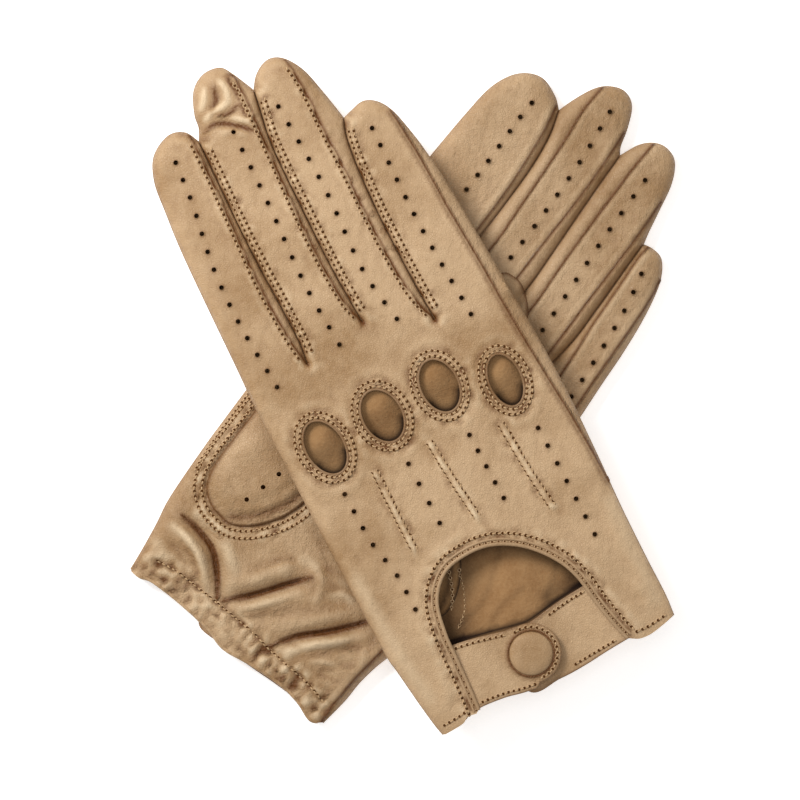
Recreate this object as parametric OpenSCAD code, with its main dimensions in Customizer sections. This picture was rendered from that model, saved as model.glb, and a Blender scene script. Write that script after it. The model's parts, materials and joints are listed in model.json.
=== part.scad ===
/* [Size] */
// Length from the cuff to the tip of the middle finger
glove_length = 242; // [220:1:265]
// Width across the palm
palm_width = 98.7; // [90:0.1:108]
// Thickness of an empty glove lying flat
hand_h = 8; // [7.4:0.1:9]
// Thickness of a thumb lying flat over its palm
thumb_h = 3.2; // [2.6:0.1:4]

/* [Leather] */
// Thickness of the outer leather
leather = 0.8; // [0.6:0.1:0.9]
// Thickness of the side strips of the fingers
wall = 0.7; // [0.5:0.1:0.9]
// Thickness of the turned hems, which are skived thin
skived = 0.6; // [0.4:0.1:0.7]
// Width of the bindings round the holes
binding_w = 1.5; // [1:0.1:2]
// Thickness of the folded bindings
binding_t = 1.2; // [1:0.1:1.4]
// Thickness of the elastic in the palm's casing
elastic_t = 0.5; // [0.3:0.1:0.5]

/* [Perforations] */
// Diameter of a perforation
perforation_d = 1.5; // [1:0.1:2]
// Distance between perforations
perforation_pitch = 6.9; // [5:0.1:9]

/* [Closure] */
// Radius of the covered cap
cap_r = 7.7; // [6:0.1:8.5]
// Radius of the round end of the tab
tab_r = 10.5; // [9.5:0.1:11]
// Thickness of the doubled tab
tab_t = 1.5; // [1.2:0.1:1.6]
// Thickness of the strap under the tab
strap_t = 0.9; // [0.7:0.1:1]
// Thickness of the pressed metal of the snap
metal_t = 0.3; // [0.2:0.05:0.35]
// Radius of the snap's socket
socket_r = 5.5; // [5:0.1:6]
// Radius of the stud's head
stud_r = 2.3; // [2:0.1:2.6]
// Radius of the shanks that pass through the leather
shank_r = 1.5; // [1.2:0.1:1.8]

/* [Lay] */
// Turn of the right glove, which lies on top
right_turn = 27.8; // [20:0.1:35]
// Turn of the left glove, which lies below, palm up
left_turn = -38.5; // [-45:0.1:-30]
// Clearance between the two gloves
lay_gap = 0.3; // [0.3:0.1:1]
// Clearance where a fingertip hinges
hinge_gap = 0.3; // [0.2:0.1:0.6]

/* [Hidden] */
SIDES = ["right", "left"];
FINGERS = ["index", "middle", "ring", "little"];
HAND_PIECES = [
    "hand_back", "hand_palm", "thumb", "fourchette_index_middle", "fourchette_middle_ring",
    "fourchette_ring_little", "knuckle_bindings", "vent_binding", "back_hem", "palm_hem",
    "wrist_elastic", "strap_base", "snap_post", "snap_stud", "snap_tab", "snap_socket", "snap_cap"
];
TIP_PIECES = ["tip_back", "tip_palm", "tip_fourchettes"];

// The pattern is drawn for a medium hand: x runs across it from the index finger's side,
// y from the cuff to the fingers, and z from the palm's face (0) to the back's face (hand_h).
pattern_length = 242;
pattern_width = 98.7;
scale_x = palm_width / pattern_width;
scale_y = glove_length / pattern_length;

// Each finger's edges: [distance from the cuff, left, right] at its root, its middle and its tip
edges = [
    [[135, -50.2, -26.9], [180, -48.3, -27.3], [218, -44.5, -24.4]],
    [[137, -26.1, -3.6], [180, -26.5, -4.4], [231.5, -21.6, -1.0]],
    [[139, -2.8, 18.3], [180, -3.6, 19.0], [225, 0.8, 21.0]],
    [[130, 19.1, 47.4], [165, 19.9, 45.6], [197, 21.9, 40.9]]
];
// Where the fingers part, from the index finger's outer edge to the little finger's
partings = [130, 134.5, 138, 127.5, 126];
// Middle knuckles, where the fingertips fold
folds = [183, 174, 168, 156];
// How far the top glove's fingertips hang down
droops = [9, 8, 5, 2];
cuff_left = [-44.5, -0.5];
cuff_right = [45, -2];
hand_left = [cuff_left, [-49, 25], [-50.2, 60], [-50.2, 122]];
hand_right = [[47.8, 118], [48.5, 85], [46, 20], cuff_right];
vent = [[-30, -1], [-29, 10], [-28.2, 25], [-25, 41], [-8, 50.5], [8, 45], [18, 34], [22.5, 18], [26.5, -2]];
// Knuckle holes: [x, y, half width, half height, lean]
knuckles = [
    [-35, 106.5, 6.5, 10, 4], [-12.2, 106.5, 6.8, 9.5, 2], [10.3, 106.5, 6.5, 9.5, -2], [31.5, 98, 5.5, 9.5, -5]
];
// Rows of perforations on the back: [finger, from, to], beyond and below the knuckle holes
back_rows = [
    [[-39.5, 134], [-41.5, 163], [-35, 219]], [[-13, 136], [-15, 165], [-12, 222]],
    [[8, 135], [5.5, 160], [7, 222]], [[31.5, 124], [30.3, 160], [31.5, 197]],
    [[-36.5, 89], [-36.2, 65], [-33.5, 42]], [[-12, 88], [-12, 76], [-11.5, 64]],
    [[11.5, 87], [11.5, 75], [12, 62]], [[34, 85], [34.5, 60], [36, 36]]
];
palm_rows = [
    [[-33, 179], [-33.5, 198], [-34, 217]], [[-6, 163], [-6.5, 195], [-10.5, 231]],
    [[18.5, 152], [15.3, 190], [14, 221]], [[41, 145], [39, 165], [33.5, 194]]
];

thumb_base = [-27, 54];
thumb_base_r = 16.5;
thumb_tip = [2.5, 154.5];
thumb_tip_r = 10.5;
thumb_hole = [-26, 59, 11.5, 16, 0];

snap_at = [-5, 9.5];
strap_end = [31, 21.5];
strap_lap = 2.5;
tab_root = [-27.8, 1, 24.5];
back_hem_h = 8;
palm_hem_h = 11.5;
elastic_from = 2.5;
elastic_to = 9.5;

// Heights inside the glove, from the palm up to the cap
hem_low = leather + elastic_t;
hem_top = hem_low + skived;
post_low = hem_top + 0.2;
strap_low = post_low + metal_t;
strap_top = strap_low + strap_t;
flange_top = strap_top + metal_t;
socket_low = flange_top + 0.1;
socket_top = socket_low + 1;
stud_top = socket_top - 0.3;
tab_top = socket_top + tab_t;
back_low = hand_h - leather;

// The lay: the right glove rests on the left one, with both thumbs between the palms
right_at = [55.1, -96.0];
left_at = [-61.8, -88.3];
right_lift = hand_h + 2 * thumb_h + lay_gap;

back_colour = [0.80, 0.63, 0.45];
palm_colour = [0.74, 0.56, 0.38];
seam_colour = [0.68, 0.50, 0.33];
elastic_colour = [0.72, 0.66, 0.56];
metal_colour = [0.72, 0.72, 0.70];

function sized(points) = [for (p = points) [p[0] * scale_x, p[1] * scale_y]];

function reversed(points) = [for (i = [len(points) - 1:-1:0]) points[i]];

// A smooth line through chosen points
function blend_at(a, b, c, d, t) =
    (2 * b + (c - a) * t + (2 * a - 5 * b + 4 * c - d) * t ^ 2 + (3 * b - a - 3 * c + d) * t ^ 3) / 2;
function smooth(p, n = 5) = concat(
    [
        for (i = [0:len(p) - 2], k = [0:n - 1])
            blend_at(p[max(i - 1, 0)], p[i], p[i + 1], p[min(i + 2, len(p) - 1)], k / n)
    ],
    [p[len(p) - 1]]
);

// The line beside another one, on its left
function beside(p, d) = [
    for (i = [0:len(p) - 1])
        let (t = p[min(i + 1, len(p) - 1)] - p[max(i - 1, 0)])
            p[i] + [-t[1], t[0]] * d / norm(t)
];

function arc(c, r, from, to, n = 16) = [for (k = [0:n]) let (a = from + (to - from) * k / n) c + r * [cos(a), sin(a)]];

function oval(hole, grow = 0, n = 40) = [
    for (k = [0:n - 1])
        let (
            x = (hole[2] + grow) * cos(360 * k / n),
            y = (hole[3] + grow) * sin(360 * k / n)
        ) [hole[0] + x * cos(hole[4]) - y * sin(hole[4]), hole[1] + x * sin(hole[4]) + y * cos(hole[4])]
];

// A round-ended outline that tapers from one circle to another
function taper(a, ra, b, rb) =
    let (d = b - a, turn = atan2(d[1], d[0]), open = acos((ra - rb) / norm(d)))
        concat(arc(b, rb, turn - open, turn + open), arc(a, ra, turn + open, turn + 360 - open));

// A parabola through the three places where a finger's edge is given
function edge_x(f, side, y) =
    let (e = edges[f])
        e[0][side] * (y - e[1][0]) * (y - e[2][0]) / ((e[0][0] - e[1][0]) * (e[0][0] - e[2][0]))
        + e[1][side] * (y - e[0][0]) * (y - e[2][0]) / ((e[1][0] - e[0][0]) * (e[1][0] - e[2][0]))
        + e[2][side] * (y - e[0][0]) * (y - e[1][0]) / ((e[2][0] - e[0][0]) * (e[2][0] - e[1][0]));

// A stretch of a finger's left (1) or right (2) edge, set in by a distance
function finger_edge(f, side, from, to, inset = 0, n = 5) = [
    for (k = [0:n])
        let (y = from + (to - from) * k / n) [edge_x(f, side, y) + (side == 1 ? inset : -inset), y]
];

// The round end of a finger from one angle to another
function finger_end(f, from, to, inset = 0) =
    let (e = edges[f][2])
        arc([(e[1] + e[2]) / 2, e[0]], (e[2] - e[1]) / 2 - inset, from, to, 8);

// The hand as far as the folds, as one closed outline
function hand_outline() = concat(
    smooth(hand_left),
    [
        for (f = [0:3]) each concat(
            finger_edge(f, 1, partings[f], folds[f]),
            finger_edge(f, 2, folds[f], partings[f + 1])
        )
    ],
    smooth(hand_right)
);

function tip_start(f, droop) = folds[f] + hinge_gap + hand_h * tan(droop);

function tip_outline(f, start) = concat(
    finger_edge(f, 1, start, edges[f][2][0]),
    finger_end(f, 172, 8),
    finger_edge(f, 2, edges[f][2][0], start)
);

// The half of a fingertip's side strip on its left (1) or right (2)
function tip_strip(f, side, start) =
    let (last = side == 1 ? 91 : 89)
        concat(
            finger_edge(f, side, start, edges[f][2][0]), finger_end(f, side == 1 ? 172 : 8, last),
            finger_end(f, last, side == 1 ? 172 : 8, wall), finger_edge(f, side, edges[f][2][0], start, wall)
        );

// The strip between two fingers, down one, round the parting and up the other
function fourchette_outline(f) = concat(
    finger_edge(f, 2, folds[f], partings[f + 1]),
    finger_edge(f + 1, 1, partings[f + 1], folds[f + 1]),
    finger_edge(f + 1, 1, folds[f + 1], partings[f + 1] - wall, wall),
    finger_edge(f, 2, partings[f + 1] - wall, folds[f], wall)
);

function side_outline(hand, f, side) =
    let (line = concat(hand, finger_edge(f, side, side == 1 ? partings[0] : partings[4], folds[f])))
        concat(line, [for (p = reversed(line)) [p[0] + (side == 1 ? wall : -wall), p[1]]]);

module layer(points, low, high) {
    translate([0, 0, low]) linear_extrude(high - low) polygon(sized(points));
}

module at_snap(z) {
    translate([snap_at[0] * scale_x, snap_at[1] * scale_y, z]) children();
}

// Evenly spaced holes along a bent row
module perforations(row, low, high) {
    length = norm(row[2] - row[0]);
    count = floor(length / perforation_pitch);
    line = smooth(row, count);
    for (k = [0:2:len(line) - 1])
        translate([line[k][0] * scale_x, line[k][1] * scale_y, low - 0.5])
            cylinder(h = high - low + 1, d = perforation_d, $fn = 24);
}

// Lays one glove's pieces where that glove rests
module lay(side) {
    if (side == "right")
        translate([right_at[0], right_at[1], right_lift]) rotate(right_turn) children();
    else
        translate([left_at[0], left_at[1], hand_h]) rotate(left_turn) mirror([0, 0, 1]) children();
}

// Lets one fingertip of the top glove hang from its fold
module hang(side, f) {
    if (side == "right")
        translate([0, folds[f] * scale_y, hand_h]) rotate([-droops[f], 0, 0])
            translate([0, -folds[f] * scale_y, -hand_h]) children();
    else
        children();
}

module hand_back() {
    color(back_colour) difference() {
        layer(hand_outline(), back_low, hand_h);
        layer(concat([[-31.5, -9]], beside(smooth(vent), binding_w), [[28, -9]]), back_low - 1, hand_h + 1);
        for (hole = knuckles)
            layer(oval(hole, binding_w), back_low - 1, hand_h + 1);
        for (row = back_rows)
            perforations(row, back_low, hand_h);
    }
}

module hand_palm() {
    color(palm_colour) difference() {
        union() {
            layer(hand_outline(), 0, leather);
            layer(side_outline(smooth(hand_left), 0, 1), 0, back_low);
            layer(side_outline(reversed(smooth(hand_right)), 3, 2), 0, back_low);
        }
        layer(oval(thumb_hole), -1, leather + 1);
        for (row = palm_rows)
            perforations(row, 0, leather);
    }
}

module thumb() {
    color(palm_colour) difference() {
        layer(taper(thumb_base, thumb_base_r, thumb_tip, thumb_tip_r), -thumb_h, 0);
        layer(
            taper(thumb_base, thumb_base_r - leather, thumb_tip, thumb_tip_r - leather),
            leather - thumb_h, -leather
        );
        layer(oval(thumb_hole), -leather - 0.1, 1);
    }
}

module fourchette(f) {
    color(seam_colour) layer(fourchette_outline(f), leather, back_low);
}

module knuckle_bindings() {
    color(seam_colour)
        for (hole = knuckles)
            difference() {
                layer(oval(hole, binding_w), hand_h - binding_t, hand_h);
                layer(oval(hole), 0, hand_h + 1);
            }
}

module vent_binding() {
    line = smooth(vent);
    color(seam_colour)
        layer(concat(line, reversed(beside(line, binding_w))), hand_h - binding_t, hand_h);
}

module back_hem() {
    color(back_colour) {
        layer([[-43.4, 0], [-33, 0], [-33, back_hem_h], [-45, back_hem_h]], back_low - skived, back_low);
        layer([[32, -1], [43.8, -1], [44.2, back_hem_h], [32, back_hem_h]], back_low - skived, back_low);
    }
}

module palm_hem() {
    color(palm_colour) {
        layer([[-43.4, 0], [43.8, -1], [44.4, palm_hem_h], [-45.5, palm_hem_h]], hem_low, hem_top);
        layer([[-43.4, 0], [43.8, -1], [43.8, 1], [-43.4, 1]], leather, hem_low);
    }
}

module wrist_elastic() {
    color(elastic_colour)
        layer(
            [[-43.6, elastic_from], [43.8, elastic_from], [44.2, elastic_to], [-45, elastic_to]],
            leather, hem_low
        );
}

module strap_base() {
    color(back_colour) {
        difference() {
            layer(
                concat(arc(snap_at, tab_r - 1, 90, 270), [[strap_end[0], -1], strap_end]),
                strap_low, strap_top
            );
            at_snap(strap_low - 1) cylinder(h = strap_t + 2, r = shank_r, $fn = 48);
        }
        layer(
            [
                [strap_end[0] - strap_lap, -1], [strap_end[0], -1],
                strap_end, [strap_end[0] - strap_lap, strap_end[1]]
            ],
            strap_top, back_low
        );
    }
}

module snap_post() {
    color(metal_colour) at_snap(post_low) {
        cylinder(h = metal_t, r = stud_r + 1.9, $fn = 64);
        cylinder(h = strap_top - post_low, r = shank_r, $fn = 48);
    }
}

module snap_stud() {
    color(metal_colour) at_snap(strap_top) {
        cylinder(h = metal_t, r = stud_r + 2.2, $fn = 64);
        cylinder(h = stud_top - strap_top, r = stud_r, $fn = 64);
    }
}

module snap_tab() {
    color(back_colour) difference() {
        layer(
            concat(arc(snap_at, tab_r, -90, 90, 24), [[tab_root[0], tab_root[2]], [tab_root[0], tab_root[1]]]),
            socket_top, tab_top
        );
        at_snap(socket_top - 1) cylinder(h = tab_t + 2, r = shank_r, $fn = 48);
    }
}

module snap_socket() {
    color(metal_colour) at_snap(socket_low) difference() {
        cylinder(h = socket_top - socket_low, r = socket_r, $fn = 64);
        translate([0, 0, -1]) cylinder(h = stud_top - socket_low + 1.1, r = stud_r + 0.25, $fn = 64);
    }
}

// A shallow dome with a rounded rim, on a shank through the tab
module snap_cap() {
    rise = hand_h - tab_top;
    rim = rise / 3;
    dome_r = ((cap_r - rim) ^ 2 + (rise - rim) ^ 2) / (2 * (rise - rim));
    color(back_colour) at_snap(tab_top) {
        rotate_extrude($fn = 96) {
            square([cap_r - rim, rim * 2]);
            translate([cap_r - rim, rim]) circle(rim, $fn = 32);
            intersection() {
                translate([0, rise - dome_r]) circle(dome_r, $fn = 96);
                square([cap_r - rim, rise]);
            }
        }
        translate([0, 0, socket_top - tab_top]) cylinder(h = tab_t, r = shank_r, $fn = 48);
    }
}

module tip_back(f, start) {
    color(back_colour) difference() {
        layer(tip_outline(f, start), back_low, hand_h);
        perforations(back_rows[f], back_low, hand_h);
    }
}

module tip_palm(f, start) {
    color(palm_colour) difference() {
        union() {
            layer(tip_outline(f, start), 0, leather);
            if (f == 0)
                layer(tip_strip(f, 1, start), 0, back_low);
            if (f == 3)
                layer(tip_strip(f, 2, start), 0, back_low);
        }
        perforations(palm_rows[f], 0, leather);
    }
}

module tip_fourchettes(f, start) {
    color(seam_colour) {
        if (f > 0)
            layer(tip_strip(f, 1, start), leather, back_low);
        if (f < 3)
            layer(tip_strip(f, 2, start), leather, back_low);
    }
}

for (side = SIDES) lay(side) {
    hand_back();
    hand_palm();
    thumb();
    fourchette(0);
    fourchette(1);
    fourchette(2);
    knuckle_bindings();
    vent_binding();
    back_hem();
    palm_hem();
    wrist_elastic();
    strap_base();
    snap_post();
    snap_stud();
    snap_tab();
    snap_socket();
    snap_cap();
    for (f = [0:3]) hang(side, f) {
        start = tip_start(f, side == "right" ? droops[f] : 0);
        tip_back(f, start);
        tip_palm(f, start);
        tip_fourchettes(f, start);
    }
}
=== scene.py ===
import json
import math

import bpy
import numpy as np
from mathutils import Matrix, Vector, kdtree
from mathutils.geometry import delaunay_2d_cdt

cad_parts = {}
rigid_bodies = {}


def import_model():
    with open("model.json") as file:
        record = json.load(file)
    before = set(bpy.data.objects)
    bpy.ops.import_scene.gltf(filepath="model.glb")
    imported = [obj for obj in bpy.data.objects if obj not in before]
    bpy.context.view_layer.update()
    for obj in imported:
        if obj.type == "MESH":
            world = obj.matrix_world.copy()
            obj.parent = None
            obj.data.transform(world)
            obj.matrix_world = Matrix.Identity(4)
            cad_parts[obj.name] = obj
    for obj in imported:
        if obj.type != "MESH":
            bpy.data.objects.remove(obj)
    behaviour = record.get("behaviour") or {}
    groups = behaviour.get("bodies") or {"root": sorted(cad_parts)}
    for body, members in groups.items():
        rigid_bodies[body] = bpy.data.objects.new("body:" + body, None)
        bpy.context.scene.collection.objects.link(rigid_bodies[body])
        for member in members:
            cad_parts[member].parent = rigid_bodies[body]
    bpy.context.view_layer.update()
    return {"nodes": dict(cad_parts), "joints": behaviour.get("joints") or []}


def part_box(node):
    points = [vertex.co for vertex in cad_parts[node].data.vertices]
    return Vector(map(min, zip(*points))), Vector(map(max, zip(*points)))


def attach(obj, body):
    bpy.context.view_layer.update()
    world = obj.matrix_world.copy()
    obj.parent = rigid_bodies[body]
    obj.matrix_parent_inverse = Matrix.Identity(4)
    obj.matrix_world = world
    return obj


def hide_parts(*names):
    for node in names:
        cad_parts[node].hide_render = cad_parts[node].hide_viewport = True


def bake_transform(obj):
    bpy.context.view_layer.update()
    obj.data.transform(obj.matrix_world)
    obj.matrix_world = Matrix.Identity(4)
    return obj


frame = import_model()
scene = bpy.context.scene
mm = 0.001
fingers = ["index", "middle", "ring", "little"]


class Sock:
    # one output socket, so that node maths can be written as an expression
    def __init__(self, tree, out):
        self.tree, self.out = tree, out

    def math(self, kind, other, swap=False):
        ins = [other, self] if swap else [self, other]
        return self.tree.node("ShaderNodeMath", {"operation": kind}, ins)

    def __add__(self, v):
        return self.math("ADD", v)

    def __radd__(self, v):
        return self.math("ADD", v, True)

    def __sub__(self, v):
        return self.math("SUBTRACT", v)

    def __rsub__(self, v):
        return self.math("SUBTRACT", v, True)

    def __mul__(self, v):
        return self.math("MULTIPLY", v)

    def __rmul__(self, v):
        return self.math("MULTIPLY", v, True)

    def __truediv__(self, v):
        return self.math("DIVIDE", v)

    def __rtruediv__(self, v):
        return self.math("DIVIDE", v, True)

    def clamp(self):
        return self.tree.node("ShaderNodeClamp", {}, [self])

    def ramp(self, low, high):
        return ((self - low) / (high - low)).clamp()


class Finish:
    # a material being built: node() adds any node, from its type, its settings and its inputs
    def __init__(self, name):
        self.material = bpy.data.materials.new(name)
        self.material.use_nodes = True
        self.nodes, self.links = self.material.node_tree.nodes, self.material.node_tree.links
        self.shader = self.nodes["Principled BSDF"]

    def node(self, kind, settings=None, inputs=(), out=0):
        made = self.nodes.new(kind)
        for key, value in (settings or {}).items():
            setattr(made, key, value)
        pairs = inputs.items() if isinstance(inputs, dict) else enumerate(inputs)
        for key, value in pairs:
            self.put(made.inputs[key], value)
        return Sock(self, made.outputs[out])

    def put(self, socket, value):
        if isinstance(value, Sock):
            self.links.new(value.out, socket)
        elif socket.type == "RGBA" and len(value) == 3:
            socket.default_value = (*value, 1)
        else:
            socket.default_value = value

    def mix(self, amount, a, b, kind="MIX"):
        return self.node(
            "ShaderNodeMix", {"data_type": "RGBA", "blend_type": kind}, {"Factor": amount, 6: a, 7: b}, 2
        )

    def noise(self, scale, detail=2, rough=0.5, where=None):
        inputs = {"Scale": scale, "Detail": detail, "Roughness": rough}
        if where:
            inputs["Vector"] = where
        return self.node("ShaderNodeTexNoise", {}, inputs)

    def place(self):
        return self.node("ShaderNodeTexCoord", out="Object")

    def bump(self, height, depth, under=None, strength=1.0):
        inputs = {"Height": height, "Distance": depth, "Strength": strength}
        if under:
            inputs["Normal"] = under
        return self.node("ShaderNodeBump", {}, inputs)

    def set(self, values):
        for key, value in values.items():
            self.put(self.shader.inputs[key], value)
        return self.material


def srgb(r, g, b):
    return tuple(v / 255 / 12.92 if v < 10 else ((v / 255 + 0.055) / 1.055) ** 2.4 for v in (r, g, b))


# deep also colours the painted shade in folds and seams; bright is the painted highlight on ridges and edges
leatherLook = {
    "light": srgb(196, 163, 124), "mid": srgb(165, 130, 90), "deep": srgb(104, 62, 24),
    "rub": srgb(205, 174, 136), "bright": srgb(220, 193, 156),
    "pore": 1700, "cell": 1250, "pucker": 390, "roughness": 0.44, "specular": 0.3,
}


def leather(name, tint=1.0, grainDepth=0.00011, wrinkle=0.0005):
    # full-grain nappa: cloudy dye, fine cells, pores, short creases, painted shade in the hollows and
    # painted highlight on the high spots
    look, f = leatherLook, Finish(name)
    light, mid, deep, rub, bright = (
        tuple(v * tint for v in look[key]) for key in ("light", "mid", "deep", "rub", "bright")
    )
    at = f.place()
    cloud = f.noise(38, 3, 0.55, at)
    mottle = f.noise(210, 3, 0.6, at)
    broad = f.noise(17, 2, 0.5, at)
    base = f.mix((cloud * 0.55 + broad * 0.45).ramp(0.4, 0.58), mid, light)
    base = f.mix(mottle.ramp(0.4, 0.72) * 0.3, base, rub)
    # each corner of the mesh carries a painted shading value: above nought it is painted shade in folds,
    # seams and gaps (at the seams partly darker dye), below nought it is painted highlight on ridges and
    # edges
    painted_shading_and_dye = f.node("ShaderNodeAttribute", {"attribute_name": "painted_shading_and_dye"}, out="Fac")
    base = f.mix((painted_shading_and_dye * (0.75 + mottle * 0.5)).clamp(), base, deep)
    # the pale mix below is painted highlight on ridges and edges
    base = f.mix((painted_shading_and_dye * -1.1).clamp(), base, bright)
    cell = {"Vector": at, "Scale": look["cell"]}
    grain = f.node("ShaderNodeTexVoronoi", {"feature": "DISTANCE_TO_EDGE"}, cell).ramp(0.0, 0.22)
    pore = f.node("ShaderNodeTexVoronoi", {}, {"Vector": at, "Scale": look["pore"]}).ramp(0.1, 0.34)
    stretch = f.node("ShaderNodeMapping", {}, {"Vector": at, "Scale": (1, 0.45, 1), "Rotation": (0, 0, 0.6)})
    lines = f.noise(330, 4, 0.62, stretch)
    puckers = f.noise(look["pucker"], 3, 0.62, at)
    base = f.mix((1 - grain) * 0.08, base, deep)
    base = f.mix((1 - pore) * 0.1, base, deep)
    base = f.mix((1 - lines.ramp(0.32, 0.5)) * 0.11, base, deep)
    base = f.mix((0.5 - puckers).ramp(0.02, 0.2) * (0.08 + painted_shading_and_dye.clamp() * 0.3), base, deep)
    rough = look["roughness"] + (mottle - 0.5) * 0.22 + (1 - grain) * 0.1 - cloud * 0.05
    fine = f.bump(grain * 0.6 + pore * 0.4, grainDepth)
    coarse = f.bump(lines * 0.75 + puckers * (0.6 + painted_shading_and_dye.clamp() * 2.0), wrinkle, fine)
    return f.set({
        "Base Color": base, "Roughness": rough.clamp(), "Normal": coarse,
        "Specular IOR Level": look["specular"],
    })


# dark is the painted shadow seen through the vent and the knuckle holes
fleshLook = {
    "deep": srgb(140, 100, 60), "light": srgb(172, 132, 88), "nap": srgb(190, 152, 108),
    "dark": srgb(34, 16, 5),
}


def fleshSide(name):
    # the brushed inner face of the leather: darker, matt and fibrous
    look, f = fleshLook, Finish(name)
    at = f.place()
    nap = f.noise(900, 4, 0.7, at)
    cloud = f.noise(60, 3, 0.6, at)
    base = f.mix(cloud.ramp(0.3, 0.7), look["deep"], look["light"])
    base = f.mix(nap.ramp(0.35, 0.8) * 0.4, base, look["nap"])
    # painted shadow: the flesh side darkens towards dark in the gaps and crescents
    painted_shading_and_dye = f.node("ShaderNodeAttribute", {"attribute_name": "painted_shading_and_dye"}, out="Fac")
    base = f.mix(painted_shading_and_dye.clamp(), base, look["dark"])
    return f.set({
        "Base Color": base, "Roughness": (0.86 + nap * 0.1).clamp(), "Normal": f.bump(nap, 0.0003),
        "Specular IOR Level": 0.2, "Sheen Weight": 0.15,
    })


threadLook = {
    "deep": srgb(190, 154, 110), "light": srgb(214, 180, 134), "twist": srgb(118, 82, 46), "plies": 700,
}


def thread(name):
    # two-ply polyester thread with a waxed twist
    look, f = threadLook, Finish(name)
    at = f.place()
    wave = {"Vector": at, "Scale": look["plies"], "Distortion": 3.0}
    ply = f.node("ShaderNodeTexWave", {"wave_type": "BANDS"}, wave)
    base = f.mix(f.noise(300, 2, 0.5, at), look["deep"], look["light"])
    base = f.mix(ply.ramp(0.2, 0.8) * 0.35, base, look["twist"])
    return f.set({
        "Base Color": base, "Roughness": 0.6 + ply * 0.1, "Normal": f.bump(ply, 0.00008),
        "Sheen Weight": 0.1,
    })


# the needle hole's dark colour is painted shade for its depth
holeLook = {"dark": srgb(56, 30, 10), "light": srgb(98, 60, 26)}


def needleHole(name):
    look, f = holeLook, Finish(name)
    tone = f.noise(800, 2, 0.5, f.place())
    return f.set({
        "Base Color": f.mix(tone, look["dark"], look["light"]), "Roughness": 0.9 + tone * 0.1,
        "Specular IOR Level": 0.05, "Normal": f.bump(tone, 0.0001),
    })


elasticLook = {"dark": srgb(140, 124, 100), "light": srgb(190, 176, 150), "ribs": 330}


def knitElastic(name):
    look, f = elasticLook, Finish(name)
    wave = {"Vector": f.place(), "Scale": look["ribs"], "Distortion": 0.4}
    rib = f.node("ShaderNodeTexWave", {"wave_type": "BANDS"}, wave)
    base = f.mix(rib.ramp(0.3, 0.8), look["dark"], look["light"])
    return f.set({"Base Color": base, "Roughness": 0.85, "Normal": f.bump(rib, 0.0003)})


metalLook = {"bright": srgb(214, 208, 198), "dull": srgb(176, 166, 150)}


def snapMetal(name):
    # plated brass, faintly brushed and a little dulled
    look, f = metalLook, Finish(name)
    at = f.place()
    brush = f.noise(1400, 3, 0.6, f.node("ShaderNodeMapping", {}, {"Vector": at, "Scale": (1, 1, 12)}))
    dull = f.noise(260, 3, 0.6, at)
    rough = 0.24 + brush * 0.16 + dull.ramp(0.5, 0.8) * 0.15
    return f.set({
        "Base Color": f.mix(dull.ramp(0.4, 0.75), look["bright"], look["dull"]), "Metallic": 1.0,
        "Roughness": rough.clamp(), "Normal": f.bump(brush, 0.00002),
    })


looks = {
    "back": leather("back_leather"),
    "palm": leather("palm_leather", 0.95, 0.00012, 0.0008),
    "sides": leather("fourchette_leather", 0.95),
    "binding": leather("binding_leather", 0.9, 0.00008, 0.0002),
    "cap": leather("cap_leather", 0.98, 0.0001, 0.0002),
    "flesh": fleshSide("flesh_side"),
    "thread": thread("sewing_thread"),
    "hole": needleHole("needle_hole"),
    "elastic": knitElastic("casing_elastic"),
    "metal": snapMetal("snap_metal"),
}
print("materials made")


def trace(points, gap=0.7, closed=False):
    # a smooth line through given points, walked in even steps
    p = np.array(points, float)
    pad = np.vstack([p[-1:], p, p[:2]]) if closed else np.vstack([2 * p[0] - p[1], p, 2 * p[-1] - p[-2]])
    t = np.linspace(0, 1, 16, endpoint=False)[:, None]
    parts = [
        ((2 * b) + (c - a) * t + (2 * a - 5 * b + 4 * c - d) * t**2 + (3 * b - a - 3 * c + d) * t**3) / 2
        for a, b, c, d in zip(pad, pad[1:], pad[2:], pad[3:])
    ]
    line = np.vstack(parts + [p[:1] if closed else p[-1:]])
    walked = np.concatenate([[0], np.cumsum(np.hypot(*np.diff(line, axis=0).T))])
    steps = np.linspace(0, walked[-1], max(3, round(walked[-1] / gap)) + 1)
    even = np.column_stack([np.interp(steps, walked, line[:, 0]), np.interp(steps, walked, line[:, 1])])
    return even[:-1] if closed else even


def heading(line, closed=False):
    # unit direction at each point of a line
    if closed:
        d = np.roll(line, -1, 0) - np.roll(line, 1, 0)
    else:
        d = np.gradient(line, axis=0)
    return d / np.maximum(np.hypot(*d.T)[:, None], 1e-9)


def beside(line, d, closed=False):
    t = heading(line, closed)
    return line + np.column_stack([-t[:, 1], t[:, 0]]) * d


def oval(x, y, a, b, lean=0, n=40):
    t = np.linspace(0, 2 * math.pi, n, endpoint=False)
    c, s = math.cos(math.radians(lean)), math.sin(math.radians(lean))
    u, v = a * np.cos(t), b * np.sin(t)
    return np.column_stack([x + u * c - v * s, y + u * s + v * c])


def inside(loops, pts):
    # even-odd test of points against closed loops
    odd = np.zeros(len(pts), bool)
    for loop in loops:
        for a, b in zip(loop, np.roll(loop, -1, 0)):
            rows = (a[1] > pts[:, 1]) != (b[1] > pts[:, 1])
            if rows.any():
                cut = a[0] + (pts[rows, 1] - a[1]) * (b[0] - a[0]) / (b[1] - a[1])
                odd[rows] ^= pts[rows, 0] < cut
    return odd


def treeOf(pts):
    tree = kdtree.KDTree(len(pts))
    for i, (x, y) in enumerate(pts):
        tree.insert((x, y, 0), i)
    tree.balance()
    return tree


class Near:
    # distance from any point to the nearest point of some lines
    def __init__(self, lines):
        self.tree = treeOf(np.vstack([trace(line, 0.25) if len(line) < 30 else line for line in lines]))

    def away(self, pts):
        return np.array([self.tree.find((x, y, 0))[2] for x, y in pts])


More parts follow.
